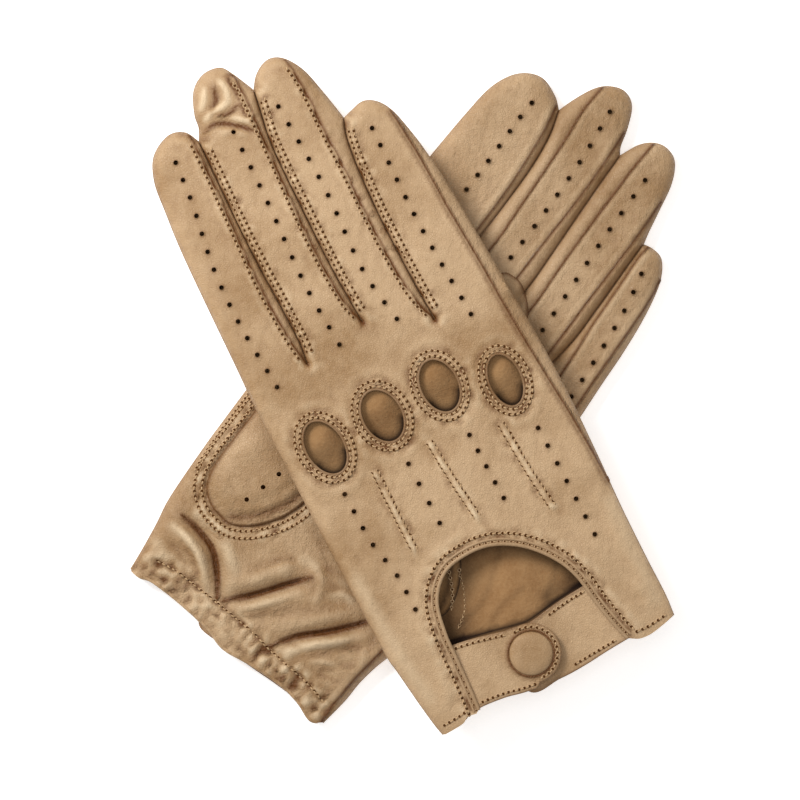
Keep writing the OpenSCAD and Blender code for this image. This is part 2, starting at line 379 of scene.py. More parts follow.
class Relief:
    # a height map over one glove's pattern, in millimetres, on a half-millimetre grid
    left, low, step, shape = -62.0, -14.0, 0.5, (532, 250)

    def __init__(self, level=0.0):
        self.h = np.full(self.shape, float(level))
        self.gx = self.left + self.step * np.arange(self.shape[1])
        self.gy = self.low + self.step * np.arange(self.shape[0])

    def press(self, line, height, width, fade=0):
        # raises the leather along a line, or sinks it where height is negative; fade tapers both ends
        pts = trace(line, 0.5) if len(line) < 40 else np.asarray(line)
        reach = width * 3
        d, along = np.full(self.shape, reach), np.zeros(self.shape)
        for i, (x, y) in enumerate(pts):
            i0, i1 = np.searchsorted(self.gx, (x - reach, x + reach))
            j0, j1 = np.searchsorted(self.gy, (y - reach, y + reach))
            near = np.hypot(self.gx[None, i0:i1] - x, self.gy[j0:j1, None] - y)
            closer = near < d[j0:j1, i0:i1]
            d[j0:j1, i0:i1][closer] = near[closer]
            along[j0:j1, i0:i1][closer] = i / (len(pts) - 1)
        shape = np.exp(-((d / width) ** 2)) - math.exp(-9)
        if fade:
            shape = shape * np.clip(np.minimum(along, 1 - along) / fade, 0.06, 1) ** 0.8
        self.h += height * shape
        return self

    def cavity(self):
        # how far each spot lies below its surroundings: positive in folds, negative on ridges
        around = [np.roll(self.h, (i, j), (0, 1)) for i in (-5, -3, 0, 3, 5) for j in (-5, -3, 0, 3, 5)]
        made = Relief()
        made.h = np.clip(sum(around) / 25 - self.h, -1, 1)
        return made

    def lumps(self, size, height, seed, fade=None):
        # soft random unevenness of a given size
        rng = np.random.default_rng(seed)
        u, v = self.gx[None, :] / size + 50, self.gy[:, None] / size + 50
        iu, iv = np.floor(u).astype(int), np.floor(v).astype(int)
        table = rng.uniform(-1, 1, (120, 120))
        fu, fv = u - iu, v - iv
        fu, fv = fu * fu * (3 - 2 * fu), fv * fv * (3 - 2 * fv)
        get = lambda du, dv: table[(iv + dv) % 120, (iu + du) % 120]
        low = get(0, 0) * (1 - fu) + get(1, 0) * fu
        high = get(0, 1) * (1 - fu) + get(1, 1) * fu
        self.h += height * (low * (1 - fv) + high * fv) * (1 if fade is None else fade)
        return self

    def at(self, pts):
        u = np.clip((pts[:, 0] - self.left) / self.step, 0, self.shape[1] - 1.001)
        v = np.clip((pts[:, 1] - self.low) / self.step, 0, self.shape[0] - 1.001)
        i, j = u.astype(int), v.astype(int)
        fu, fv = u - i, v - j
        h = self.h
        return (
            h[j, i] * (1 - fu) * (1 - fv) + h[j, i + 1] * fu * (1 - fv)
            + h[j + 1, i] * (1 - fu) * fv + h[j + 1, i + 1] * fu * fv
        )


# Lines are in millimetres on a glove's own pattern: x from the index finger's side to the little
# finger's, y from the cuff to the fingertips. Each is the shape that glove lies in.
rightPlan = {
    "handLeft": [(-45.3, -1.3), (-46.2, 3), (-47.5, 12), (-49, 25), (-50, 36), (-50.1, 80), (-50, 126)],
    "handRight": [(47.7, 122), (48.4, 104), (48.5, 84), (47.6, 60), (46.5, 40), (46, 20), (45.9, 6),
                  (45.2, -2)],
    "tips": [
        [(-50, 130), (-49.2, 146), (-48.4, 168), (-47.4, 190), (-46, 205), (-44.5, 216.5), (-40.5, 224.6),
         (-33, 228.5), (-27.3, 226.8), (-24.3, 221.2)],
        [(-24.3, 221.2), (-21.9, 226), (-21, 231), (-17.5, 238.3), (-12, 241.8), (-6, 241.2), (-3.2, 237.5),
         (-0.4, 231.5), (1, 228.2)],
        [(1, 228.2), (4, 232.4), (8, 235.1), (12, 235.5), (16, 232.8), (19.6, 226.5), (21.7, 218),
         (23.2, 210.5), (24.2, 205)],
        [(24.2, 205), (28, 206.2), (33, 207.2), (37.3, 204.8), (40.4, 199.6), (42.5, 191), (44.1, 181),
         (45.4, 168), (46.4, 150), (47.4, 130)],
    ],
    "valleys": [
        [(-27, 135), (-25.9, 143), (-25.8, 155), (-26, 172), (-25.7, 190), (-25, 206), (-24.3, 221.2)],
        [(-3, 139), (-3.6, 150), (-3.8, 165), (-3.4, 180), (-3, 195), (-2.2, 210), (-0.3, 221), (1, 228.2)],
        [(19.7, 128), (19.3, 140), (19.2, 155), (19.4, 170), (20.1, 182), (21, 192), (22.4, 200),
         (24.2, 205)],
    ],
    "leftSeams": [None, None, None, None],
    "rightSeams": [
        [(-27, 135), (-28.3, 145), (-28.8, 158), (-28.6, 172), (-27.6, 188), (-26.7, 203), (-26.2, 214),
         (-26, 225.2)],
        [(-3, 139), (-5.3, 148), (-6, 160), (-6, 172), (-5.2, 188), (-4.2, 204), (-3.3, 218), (-2.6, 229),
         (-3, 237.2)],
        [(19.7, 128), (16.6, 140), (15.6, 155), (15.7, 172), (16.2, 190), (16.4, 205), (16.9, 218),
         (16.6, 226), (15.6, 233)],
        [(47.2, 50), (46.8, 65), (46, 80), (44.6, 100), (43.6, 120), (43, 140), (42, 160), (41.6, 180),
         (41, 190), (40.2, 200)],
    ],
    "cuff": [(45.2, -2), (40, -3.2), (35, -4), (31, -3.6), (28.4, -2.2)],
    "cuffEnd": [(-31.6, -0.2), (-35, 0.3), (-37.5, -1.1), (-44.6, -1.6)],
    "plainCuff": [(45.2, -2), (40, -2.6), (30, -1.6), (20, -0.8), (0, -1.2), (-10, 0), (-20, 1.6), (-33, 2),
                  (-38, -0.6), (-44.6, -1.6)],
}
leftPlan = {
    "handLeft": [(-42.2, 1.4), (-42.6, 5), (-43.6, 12), (-45, 20), (-47, 30), (-48.5, 50), (-49.1, 65),
                 (-49.6, 85), (-50, 126)],
    "handRight": [(48.3, 122), (48.6, 100), (48.7, 75), (48.4, 50), (47.8, 36), (46.2, 28), (45.2, 20),
                  (45.1, 12), (44, 1.2)],
    "tips": [
        [(-50, 130), (-50, 160), (-50, 180), (-49.5, 200), (-48.3, 213), (-44, 222), (-37, 226),
         (-29.5, 224), (-24.8, 220.6)],
        [(-24.8, 220.6), (-22.6, 228), (-19.6, 234.8), (-16, 238.6), (-11, 240.4), (-6, 238), (-2.4, 231),
         (-0.3, 224.5), (1.8, 221.4)],
        [(1.8, 221.4), (4.8, 228.8), (8.5, 232.7), (13, 234), (18, 232), (21.9, 225.3), (24.3, 215.5),
         (26.2, 207), (27.5, 202.4)],
        [(27.5, 202.4), (31, 203.2), (35.5, 202.4), (39.5, 197.3), (42, 190), (44, 180), (45.5, 168),
         (46.5, 155), (47.8, 140), (48.3, 128)],
    ],
    "valleys": [
        [(-22, 136), (-19.8, 150), (-19.1, 170), (-19.3, 185), (-20.1, 200), (-22, 212), (-24.8, 220.6)],
        [(0, 140), (4, 152), (5.3, 165), (4.5, 180), (3.4, 195), (2.4, 210), (1.8, 221.4)],
        [(23, 129), (27.5, 145), (29.3, 160), (28.9, 175), (28.1, 190), (27.5, 202.4)],
    ],
    "leftSeams": [
        None,
        [(-22, 136), (-16, 148), (-14, 160), (-13.6, 172), (-14.6, 186), (-15.7, 201), (-17, 215),
         (-18.4, 226), (-18.2, 236.6)],
        [(0, 140), (9.5, 150), (10.6, 162), (9.7, 176), (8.9, 191), (8.4, 206), (8, 220), (8.2, 232.4)],
        [(23, 129), (32.5, 142), (32.6, 155), (31.3, 167), (30.4, 180), (29.6, 190), (29, 197),
         (29.3, 202.9)],
    ],
    "rightSeams": [
        [(-22, 136), (-21.8, 150), (-21.2, 168), (-21.6, 186), (-22.8, 200), (-24.4, 212), (-26.5, 222)],
        [(0, 140), (0.6, 152), (0.4, 165), (0.1, 180), (0, 198), (-0.6, 213), (-1.9, 229)],
        [(23, 129), (25.2, 143), (25.4, 158), (24.9, 175), (24.6, 191), (24.2, 205), (23.4, 218)],
        [(43.5, 1.5), (43.1, 10), (43.3, 20), (44.6, 34), (46, 60), (46.2, 100), (45.2, 135), (44, 152),
         (43, 168), (42.2, 182), (41.3, 191), (40, 196.6)],
    ],
    "cuff": [(44, 1.2), (40, -1.2), (33, 1), (25, 2), (15, 1.5), (8, 0.5), (0, -0.5), (-8, 1.5), (-20, 2.5),
             (-33, 2.4), (-38, 0.9), (-41.6, 0.9)],
}
leftPlan["plainCuff"] = leftPlan["cuff"]
ventedCuff = {
    "right": (rightPlan["cuff"], rightPlan["cuffEnd"]),
    "left": ([(44, 1.8), (38, 2.4), (33, 3.2), (29, 3.4)], [(-31.6, 4), (-36, 3.4), (-41.8, 2.2)]),
}

back = {
    "vent": [(-30, 0.5), (-29.2, 10), (-28.6, 20), (-27.9, 30), (-25.2, 41), (-18, 48.6), (-8, 50.5),
             (1, 49), (10, 43.6), (17.4, 35), (21.4, 26), (23.4, 13), (25.6, 3), (27, -1.6)],
    "knuckles": [(-35, 106.5, 6.3, 9.8, 4), (-12.2, 107, 6.6, 9.4, 2), (10.3, 107, 6.3, 9.4, -2),
                 (31.5, 98, 5.4, 9.2, -5)],
    "rows": [
        [(-40, 133), (-41.4, 158), (-40.4, 180), (-36.5, 203), (-34.9, 219)],
        [(-13.9, 136), (-14.8, 160), (-13, 190), (-12, 219)],
        [(8, 134.6), (5.4, 155), (7, 187), (6, 219.5)], [(31.6, 124), (30.3, 160), (31.4, 197.5)],
        [(-36.6, 89), (-36.2, 70), (-33.7, 56), (-33.5, 42)], [(-12, 88), (-12, 76), (-12, 64.7)],
        [(11.5, 87), (11.6, 75), (11.8, 62)], [(33.8, 78), (34, 58), (34, 36)],
    ],
    "points": [
        [(-23.6, 91), (-24, 76), (-24.2, 60)], [(-2, 91), (-1, 76), (0.6, 60)],
        [(23, 85), (23.8, 68), (25.4, 51)],
    ],
}
palm = {
    "rows": [
        [(-33, 179), (-33.3, 193), (-34, 209), (-34, 217)],
        [(-6, 170), (-6.6, 191), (-8, 212), (-10.6, 231.6)],
        [(18.6, 157), (17.1, 175), (15.2, 196), (14, 220.5)],
        [(41, 145), (39.4, 161), (36.8, 180), (33.4, 194)],
    ],
    "sideRows": [[(-48.2, 79), (-47.9, 64), (-47.2, 50), (-46, 42)], [(-45.6, 79), (-45.4, 72)]],
    "insetTop": [(-8, 66), (-14, 76), (-26, 84), (-38, 82)],
}
thumbPlan = {
    "loop": [
        (-41, 84), (-42.6, 76), (-42.6, 66), (-42.2, 50), (-40, 41.5), (-35.4, 37.2), (-30, 35.6),
        (-24.4, 35.6), (-18.7, 39.3), (-13.6, 45.5), (-10.4, 52), (-8.4, 60), (-5.4, 70), (-0.6, 90),
        (6, 115), (11.6, 138), (13.6, 151), (11.6, 157.6), (7.4, 162.2), (3, 165), (-1, 165.5), (-5, 164),
        (-8.6, 157), (-12.6, 141), (-22.4, 115), (-34, 97),
    ],
    "insetEnds": ((-42.6, 76), (-7.4, 63)),  # where the sewn part of the loop starts and stops
    "holes": [[(-22.3, 60), (-23.8, 53), (-25.6, 46)]],
    "fold": [(-11.6, 60), (-14, 52.4), (-17.8, 46), (-22, 41), (-26, 38)],
    "creases": [
        ([(-16, 62), (-18.6, 54), (-22, 47)], -0.45, 1.5), ([(-36, 44), (-38, 52), (-36, 62)], 0.45, 3),
    ],
    "slope": ([55, 92], [15, 5.4]),  # how far the rise takes to reach its full height, up the thumb
    "rise": ([36, 60, 80], [2.2, 2.8, 3.1]),
    "insetRows": (1.6, 4.2), "rowPitch": 1.9,
}


# how the upper glove hangs at its free ends: where each sag starts, in millimetres, and its strength
sagLook = {"tipFrom": 128, "tip": 0.006, "cuffFrom": 46, "cuff": 0.004}


class Glove:
    # one glove: where it lies, and the height maps of its upper and lower faces
    edge = 0.6  # half the height of the side wall where the two faces meet
    corner = 5.6  # how far in from the edge the rounding reaches
    cleft = 3.0  # the same, beside the clefts between the fingers
    indexFold = (-37.8, 183)  # where the index finger folds, on the pattern

    def __init__(self, side, plan):
        self.side, self.plan = side, plan
        joint = next(j for j in frame["joints"] if j["name"] == side + "_index_fold")
        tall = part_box(side + "_hand_palm")
        self.x = np.array(joint["axis"][:2])
        self.y = np.array([-self.x[1], self.x[0]])
        knuckle = np.array(joint["pos_m"][:2]) / mm
        self.origin = knuckle - self.x * self.indexFold[0] - self.y * self.indexFold[1]
        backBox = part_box(side + "_hand_back")
        self.base = min(tall[0][2], backBox[0][2]) / mm
        self.high = (max(tall[1][2], backBox[1][2]) - min(tall[0][2], backBox[0][2])) / mm
        p = plan
        self.near = Near([p["handLeft"], p["handRight"]] + p["tips"])
        self.nearCleft = Near(p["valleys"])

    def sag(self, pts):
        # the upper glove hangs down a little where nothing is under it
        if self.side == "left":
            return np.zeros(len(pts))
        beyond = np.maximum(pts[:, 1] - sagLook["tipFrom"], 0)
        lean = np.clip((30 - pts[:, 0]) / 80, 0, 1)
        cuff = np.maximum(sagLook["cuffFrom"] - pts[:, 1], 0)
        return -(beyond**1.6) * sagLook["tip"] * (0.35 + 0.65 * lean) - cuff**1.5 * sagLook["cuff"]

    def world(self, pts, u):
        flat = self.origin + pts[:, :1] * self.x + pts[:, 1:] * self.y
        return np.column_stack([flat, self.base + u + self.sag(pts)]) * mm

    def round(self, pts):
        d = np.clip(self.near.away(pts) / self.corner, 0, 1)
        c = np.clip(self.nearCleft.away(pts) / self.cleft, 0, 1)
        return np.minimum(np.sqrt(1 - (1 - d) ** 2), np.sqrt(1 - (1 - c) ** 2))

    def topAt(self, pts):
        mid = self.high / 2 + self.edge
        return mid + (self.top.at(pts) - mid) * self.round(pts)

    def lowAt(self, pts):
        mid = self.high / 2 - self.edge
        return mid + (self.low.at(pts) - mid) * self.round(pts)

    def finger(self, pts):
        # which fingertip each point belongs to, counted from 1, or 0 for the hand
        which = np.zeros(len(pts), int)
        for k in range(4):
            ok = pts[:, 1] > folds[k] - 10
            for v, sign in ((k - 1, 1), (k, -1)):
                if 0 <= v < 3:
                    line = trace(self.plan["valleys"][v])
                    ok &= (pts[:, 0] - np.interp(pts[:, 1], line[:, 1], line[:, 0])) * sign > 0
            which[ok] = k + 1
        return which


folds = [183, 174, 168, 156]
gloves = {"right": Glove("right", rightPlan), "left": Glove("left", leftPlan)}


casing = [(-37, 9.6), (-28, 10.9), (-12, 11), (4, 10.8), (14, 9.6), (30, 8.8), (40, 7)]
cuffFolds = [
    [(-40, 27.5), (-32, 27), (-24, 24.6), (-17.5, 19), (-13, 13.5), (-11, 10.5)],
    [(-10.6, 12), (-8, 15.4), (-4, 20), (0, 25.5), (4, 31.5), (9, 38.5)],
    [(12.6, 10), (15.6, 16), (20, 21.6), (26, 28), (33, 37), (36, 41)],
]


def pucker(top, lines, seed):
    # small gathers the needle leaves along each sewn line
    sewn = Relief()
    for line in lines:
        sewn.press(line, 1, 2.7)
    near = np.clip(sewn.h, 0, 1)
    made = Relief().lumps(2.7, 0.36, seed, near).lumps(1.8, 0.24, seed + 1, near)
    top.h += made.h
    return made


# each fold is a line, a height and a width; below nought it is pressed in, above it stands up
rightFolds = {
    "tip": [
        ([(-21, 223.6), (-16, 224.4), (-10, 220.6), (-4, 214.6)], -1.7, 1.1),
        ([(-19, 220), (-13, 219.6), (-7, 215)], 0.5, 1.6),
        ([(-16, 228.4), (-12.4, 231.6), (-11, 236)], -1.1, 1.0),
        ([(-14, 226.6), (-10.6, 225.4), (-6.4, 226.6)], -1.0, 0.9),
        ([(-19.4, 231), (-16.6, 233.2), (-14.6, 237.4)], 1.0, 1.3),
        ([(-9, 229), (-7.4, 233.4), (-7.8, 237.6)], 1.0, 1.3),
        ([(-19, 227.4), (-14.6, 228.8), (-11.6, 228.2), (-8, 230)], 0.9, 1.1),
        ([(-10, 223), (-6.6, 220.6), (-4.4, 217.6)], 1.0, 1.2),
        ([(-5.2, 236), (-4.6, 230), (-5.6, 222)], -0.7, 0.9),
        ([(-17, 225.4), (-13, 224.6)], 0.6, 0.9),
    ],
    "soft": [
        ([(-7, 214), (-4.6, 205), (-6, 196)], -0.5, 1.8), ([(16, 222), (15, 210), (15.6, 198)], -0.45, 1.6),
        ([(-38, 222), (-33, 223.6), (-29, 221)], -0.25, 1.6), ([(-22, 210), (-23, 202)], 0.3, 1.4),
        ([(4, 229), (9, 231.6), (14, 229)], -0.3, 1.2),
        ([(-45, 8), (-41, 22), (-41.5, 45), (-43, 70)], -0.5, 3.2),
        ([(40, 12), (37, 30), (38.5, 52)], -0.4, 3.0), ([(36, 2), (40, 8), (38, 16)], 0.5, 2.4),
        ([(-43, 4), (-38, 10), (-36, 20)], 0.4, 2.2),
    ],
    # beside a line: how far out, how high and how wide
    "knuckle": [(2.4, 0.35, 0.7), (4.3, -0.22, 0.8), (6.4, 0.3, 2.0)],
    "vent": [(1.75, -0.35, 0.4), (2.5, 0.18, 0.5), (3.3, -0.3, 0.4), (6.5, 0.35, 2.2)],
    "point": [(1.7, -0.28, 0.7), (-1.7, -0.28, 0.7)],
    "lumps": [(36, 0.7, 3), (15, 0.36, 4), (6.5, 0.1, 5), (3.6, 0.05, 6)],
    "cuffDrop": 1.3, "taper": 0.3,
}


def shapeRight(g):
    look = rightFolds
    top = Relief(g.high)
    y = top.gy[:, None]
    top.h -= np.clip((30 - y) / 34, 0, 1) * look["cuffDrop"]  # the cuff is flatter than the hand
    for size, height, seed in look["lumps"]:
        top.lumps(size, height, seed)
    for seam in rightPlan["rightSeams"]:
        top.press(seam, -0.6, 0.7)
        top.press(beside(trace(seam), 1.9), 0.22, 1.1)
    top.press(beside(trace(rightPlan["rightSeams"][3]), 1.7), -0.4, 0.6)
    for valley in rightPlan["valleys"]:
        top.press(beside(trace(valley), -2.05), 0.3, 0.7)
        top.press([valley[0], (valley[0][0], valley[0][1] + 1)], -0.8, 1.6)
    for line in back["points"]:
        top.press(line, 0.5, 0.8)
        for out, height, width in look["point"]:
            top.press(beside(trace(line), out), height, width)
    for x, yy, a, b, lean in back["knuckles"]:
        for out, height, width in look["knuckle"]:
            top.press(oval(x, yy, a + out, b + out, lean, 90), height, width)
    vent = trace(back["vent"])
    for out, height, width in look["vent"]:
        top.press(beside(vent, out), height, width)
    for line, height, width in look["tip"] + look["soft"]:
        top.press(line, height, width, look["taper"])
    rings = [oval(x, yy, a + 2.6, b + 2.6, lean, 90) for x, yy, a, b, lean in back["knuckles"]]
    sides = [beside(trace(valley), -2.1) for valley in rightPlan["valleys"]]
    sewnLines = rings + sides + rightPlan["rightSeams"][:3] + back["points"] + [beside(vent, 4.1)]
    g.gather = pucker(top, sewnLines, 61)
    g.top = top
    low = Relief(0.0).lumps(26, 0.25, 8).lumps(9, 0.35, 9)
    for x, yy, a, b, lean in back["knuckles"]:
        low.press([(x - 1, yy + 5), (x + 1, yy + 7)], 5.2, 8.6)
    low.press([(-2, 26), (3, 38)], 1.6, 9)
    low.press([(-24, 30), (-19, 42)], 0.9, 3.5)
    low.h = np.clip(low.h, 0, 5)
    g.low = low


leftFolds = {
    "small": [
        ([(-30, 20), (-24, 16), (-19, 10)], -0.8, 1.6), ([(-40, 16), (-34, 14), (-30, 10)], -0.7, 1.8),
        ([(20, 12), (27, 20), (34, 27), (40, 33)], -0.9, 1.5), ([(29, 12), (36, 20), (42, 26)], -0.7, 1.4),
        ([(-4, 11), (2, 17), (6, 24)], -0.6, 1.7), ([(3, 43), (12, 44), (22, 38)], -0.5, 2.4),
        ([(-5, 40), (0, 36), (3, 30)], 0.7, 3.0), ([(8, 26), (14, 32), (20, 36)], 0.9, 3.4),
        ([(22, 20), (28, 25.5), (34, 31)], 0.9, 1.2), ([(-38, 22), (-30, 21.6), (-22, 17.6)], 0.7, 1.4),
        ([(8, 40), (16, 43), (26, 44)], 0.6, 2.2), ([(-4, 52), (4, 50), (10, 46)], -0.5, 2.6),
        ([(-42, 23), (-33, 22.6), (-25, 19), (-19, 13)], 1.0, 1.2),
        ([(-41, 17.5), (-34, 17), (-27, 13.6)], -0.7, 1.1),
        ([(-36, 14.4), (-29, 13.2)], 0.6, 1.0), ([(-35, 30.6), (-28, 29.4), (-21, 30.6)], -0.8, 0.9),
        ([(0, 44), (8, 43), (14, 38), (16, 30)], 0.9, 2.4), ([(-6, 33), (-2, 38), (4, 41)], -0.7, 1.8),
        ([(18, 38.6), (22, 41), (27, 41.4)], 0.9, 1.1), ([(36, 33), (40, 30), (42, 24)], 0.6, 1.4),
        ([(14, 14), (18, 16), (24, 17)], -0.6, 1.0), ([(26, 14), (31, 18), (38, 20.6)], 0.9, 1.1),
        ([(27, 11.8), (35, 14.4), (41, 17)], -0.7, 1.0), ([(-8, 24), (-3, 33), (3, 40)], 0.5, 2.0),
    ],
    "cuffFold": [(-1.7, 0.75, 0.15), (-1.3, 2.4, 0.3)],
    "cuffRidges": [(-4.2, 2.0, 2.3, 0.5), (4.8, 1.3, 2.9, 0.45)],
    "lumps": [(30, 0.5, 13), (13, 0.28, 14), (6, 0.1, 15)],
    "gathers": [(4.4, 0.9, 41), (2.8, 0.8, 42)],
    "pleats": (8.6, 5.3, 3.9, 3.1), "pleatHeight": 0.14,
    "cuffDrop": 1.5, "taper": 0.35, "puff": 1.1,
}


def shapeLeft(g):
    look = leftFolds
    top = Relief(g.high)
    y, x = top.gy[:, None], top.gx[None, :]
    top.h -= np.clip((26 - y) / 30, 0, 1) * look["cuffDrop"]
    for size, height, seed in look["lumps"]:
        top.lumps(size, height, seed)
    for seams, sign in ((leftPlan["leftSeams"], -1), (leftPlan["rightSeams"], 1)):
        for k, seam in enumerate(seams):
            if seam:
                top.press(seam, -0.6 if k < 3 or sign < 0 else -0.35, 0.7)
                top.press(beside(trace(seam), 1.7 * sign), 0.28, 1.0)
    for valley in leftPlan["valleys"]:
        top.press(valley, -1.2, 1.5)
    # deep folds where the elastic gathers the palm, each with the ridge that stands beside it
    folded = Relief(0)
    for line in cuffFolds:
        for height, width, taper in look["cuffFold"]:
            folded.press(line, height, width, taper)
        for out, height, width, taper in look["cuffRidges"]:
            folded.press(beside(trace(line), out), height, width, taper)
    for line, height, width in look["small"]:
        folded.press(line, height, width, look["taper"])
    folded.h -= np.minimum(folded.h, 0) * np.clip((22 - y) / 12, 0, 1) * 0.6
    top.h += folded.h + look["puff"] * np.exp(-(((y - 20) / 14) ** 2))
    rng = np.random.default_rng(21)
    pleats = 0
    for width in look["pleats"]:
        start, skew = rng.uniform(0, 6), rng.uniform(-0.08, 0.08)
        pleats = pleats + np.sin(x * 2 * math.pi / width + start + y * skew)
    near = np.exp(-(((y - 6) / 6.5) ** 2))
    top.h += look["pleatHeight"] * pleats * near
    for size, height, seed in look["gathers"]:
        top.lumps(size, height, seed, near)
    top.press(casing, -0.9, 0.8)
    inset = thumbPlan["loop"][1:12]
    top.press(inset, -0.8, 0.8)
    g.gather = pucker(top, [beside(trace(inset), -2.9), casing, beside(trace(casing), -4)], 71)
    g.top = top
    g.low = Relief(0.65)


shapeRight(gloves["right"])
shapeLeft(gloves["left"])
print("height maps made")


class Piece:
    # triangles gathered for one leather piece; each corner keeps its own normal
    def __init__(self, glove, name, looksUsed, slot):
        self.glove, self.name, self.looksUsed, self.slot = glove, name, looksUsed, slot
        self.pos, self.flat, self.painted_shading_and_dye = [], [], []
        self.tris, self.normals, self.look = [], [], []
        self.count = 0

    def add(self, pos, flat, tris, normals, look=0, painted_shading_and_dye=None):
        self.pos.append(pos)
        self.flat.append(flat)
        self.painted_shading_and_dye.append(np.zeros(len(pos)) if painted_shading_and_dye is None else painted_shading_and_dye)
        self.tris.append(tris + self.count)
        self.normals.append(normals)
        self.look.append(np.broadcast_to(look, len(tris)))
        self.count += len(pos)

    def objects(self, split=True):
        # one object for the hand and one for each fingertip
        pos, flat, painted_shading_and_dye = np.vstack(self.pos), np.vstack(self.flat), np.concatenate(self.painted_shading_and_dye)
        tris, normals, look = np.vstack(self.tris), np.concatenate(self.normals), np.concatenate(self.look)
        where = self.glove.finger(flat[tris].mean(1)) if split else np.zeros(len(tris), int)
        made = {}
        for part in np.unique(where):
            rows = where == part
            used, index = np.unique(tris[rows], return_inverse=True)
            name = f"{self.glove.side}_{self.name}" + (f"_{fingers[part - 1]}" if part else "")
            made[part] = makeObject(
                name, pos[used], index.reshape(-1, 3), normals[rows], look[rows],
                self.looksUsed, painted_shading_and_dye[used],
            )
        return made


def makeObject(name, pos, tris, normals, look, looksUsed, painted_shading_and_dye):
    mesh = bpy.data.meshes.new(name)
    mesh.vertices.add(len(pos))
    mesh.vertices.foreach_set("co", pos.ravel())
    mesh.loops.add(len(tris) * 3)
    mesh.loops.foreach_set("vertex_index", tris.ravel().astype(np.int32))
    mesh.polygons.add(len(tris))
    mesh.polygons.foreach_set("loop_start", np.arange(0, len(tris) * 3, 3, dtype=np.int32))
    mesh.polygons.foreach_set("material_index", look.astype(np.int32))
    mesh.polygons.foreach_set("use_smooth", np.ones(len(tris), bool))
    mesh.update(calc_edges=True)
    mesh.attributes.new("painted_shading_and_dye", "FLOAT", "POINT").data.foreach_set("value", painted_shading_and_dye.astype(np.float32))
    mesh.validate()
    if len(mesh.loops) == len(tris) * 3:
        mesh.normals_split_custom_set(normals.reshape(-1, 3).tolist())
    for key in looksUsed:
        mesh.materials.append(looks[key])
    made = bpy.data.objects.new(name, mesh)
    scene.collection.objects.link(made)
    return made


def smoothNormals(pos, tris):
    face = np.cross(pos[tris[:, 1]] - pos[tris[:, 0]], pos[tris[:, 2]] - pos[tris[:, 0]])
    total = np.zeros_like(pos)
    for k in range(3):
        np.add.at(total, tris[:, k], face)
    return total / np.maximum(np.linalg.norm(total, axis=1)[:, None], 1e-15)


meshLook = {
    "besideEdge": (0.35, 0.8, 1.4), "besideHole": (0.5,), "clearOfEdge": 0.3, "crowded": 0.34,
    "rowStep": 0.866, "clearOfFixed": 0.55,
}


def triangulate(loops, spacing, dense=()):
    # fills closed loops with even triangles, leaving the holes open
    look = meshLook
    rims = np.vstack(loops)
    edges, start = [], 0
    for loop in loops:
        n = len(loop)
        edges += [(start + i, start + (i + 1) % n) for i in range(n)]
        start += n
    # extra rows of points beside the edges, the holes and the lines that need a fine mesh
    extra = []
    for i, loop in enumerate(loops):
        for d in look["besideHole"] if i else look["besideEdge"]:
            extra += [beside(loop, d, True), beside(loop, -d, True)]
    extra = np.vstack(extra + [beside(line, d) for line, offsets in dense for d in offsets])
    tree, kept, taken = treeOf(rims), [], set()
    for x, y in extra[inside(loops, extra)]:
        cell = (round(x / look["crowded"]), round(y / look["crowded"]))
        if tree.find((x, y, 0))[2] > look["clearOfEdge"] and cell not in taken:
            taken.add(cell)
            kept.append((x, y))
    fixed = np.vstack([rims, kept]) if kept else rims
    # and an even net of points over the rest
    low, high = loops[0].min(0), loops[0].max(0)
    net = []
    for i, y in enumerate(np.arange(low[1], high[1], spacing * look["rowStep"])):
        x = np.arange(low[0] + (i % 2) * spacing / 2, high[0], spacing)
        net.append(np.column_stack([x, np.full(len(x), y)]))
    net = np.vstack(net)
    net = net[inside(loops, net)]
    tree = treeOf(fixed)
    net = [p for p in net if tree.find((*p, 0))[2] > spacing * look["clearOfFixed"]]
    allPts = np.vstack([fixed, np.reshape(net, (-1, 2))])
    verts, _, faces, *_ = delaunay_2d_cdt([Vector(p) for p in allPts], edges, [], 0, 1e-5)
    flat = np.array([(v.x, v.y) for v in verts])
    tris = np.array([f for f in faces if len(f) == 3])
    tris = tris[inside(loops, flat[tris].mean(1))]
    a, b, c = (flat[tris[:, k]] for k in range(3))
    area = (b[:, 0] - a[:, 0]) * (c[:, 1] - a[:, 1]) - (b[:, 1] - a[:, 1]) * (c[:, 0] - a[:, 0])
    sound = np.abs(area) > 1e-7
    tris, area = tris[sound], area[sound]
    tris[area < 0] = tris[area < 0][:, ::-1]
    used, index = np.unique(tris, return_inverse=True)
    return flat[used], index.reshape(-1, 3)


def netTris(rows, across, closedRows=False, closedAcross=True):
    # two triangles for each cell of a net of points, given row by row
    tris = []
    for i in range(rows if closedRows else rows - 1):
        j = (i + 1) % rows
        for k in range(across if closedAcross else across - 1):
            m = (k + 1) % across
            a, b, c, d = i * across + k, i * across + m, j * across + m, j * across + k
            tris += [(a, b, c), (a, c, d)]
    return np.array(tris)


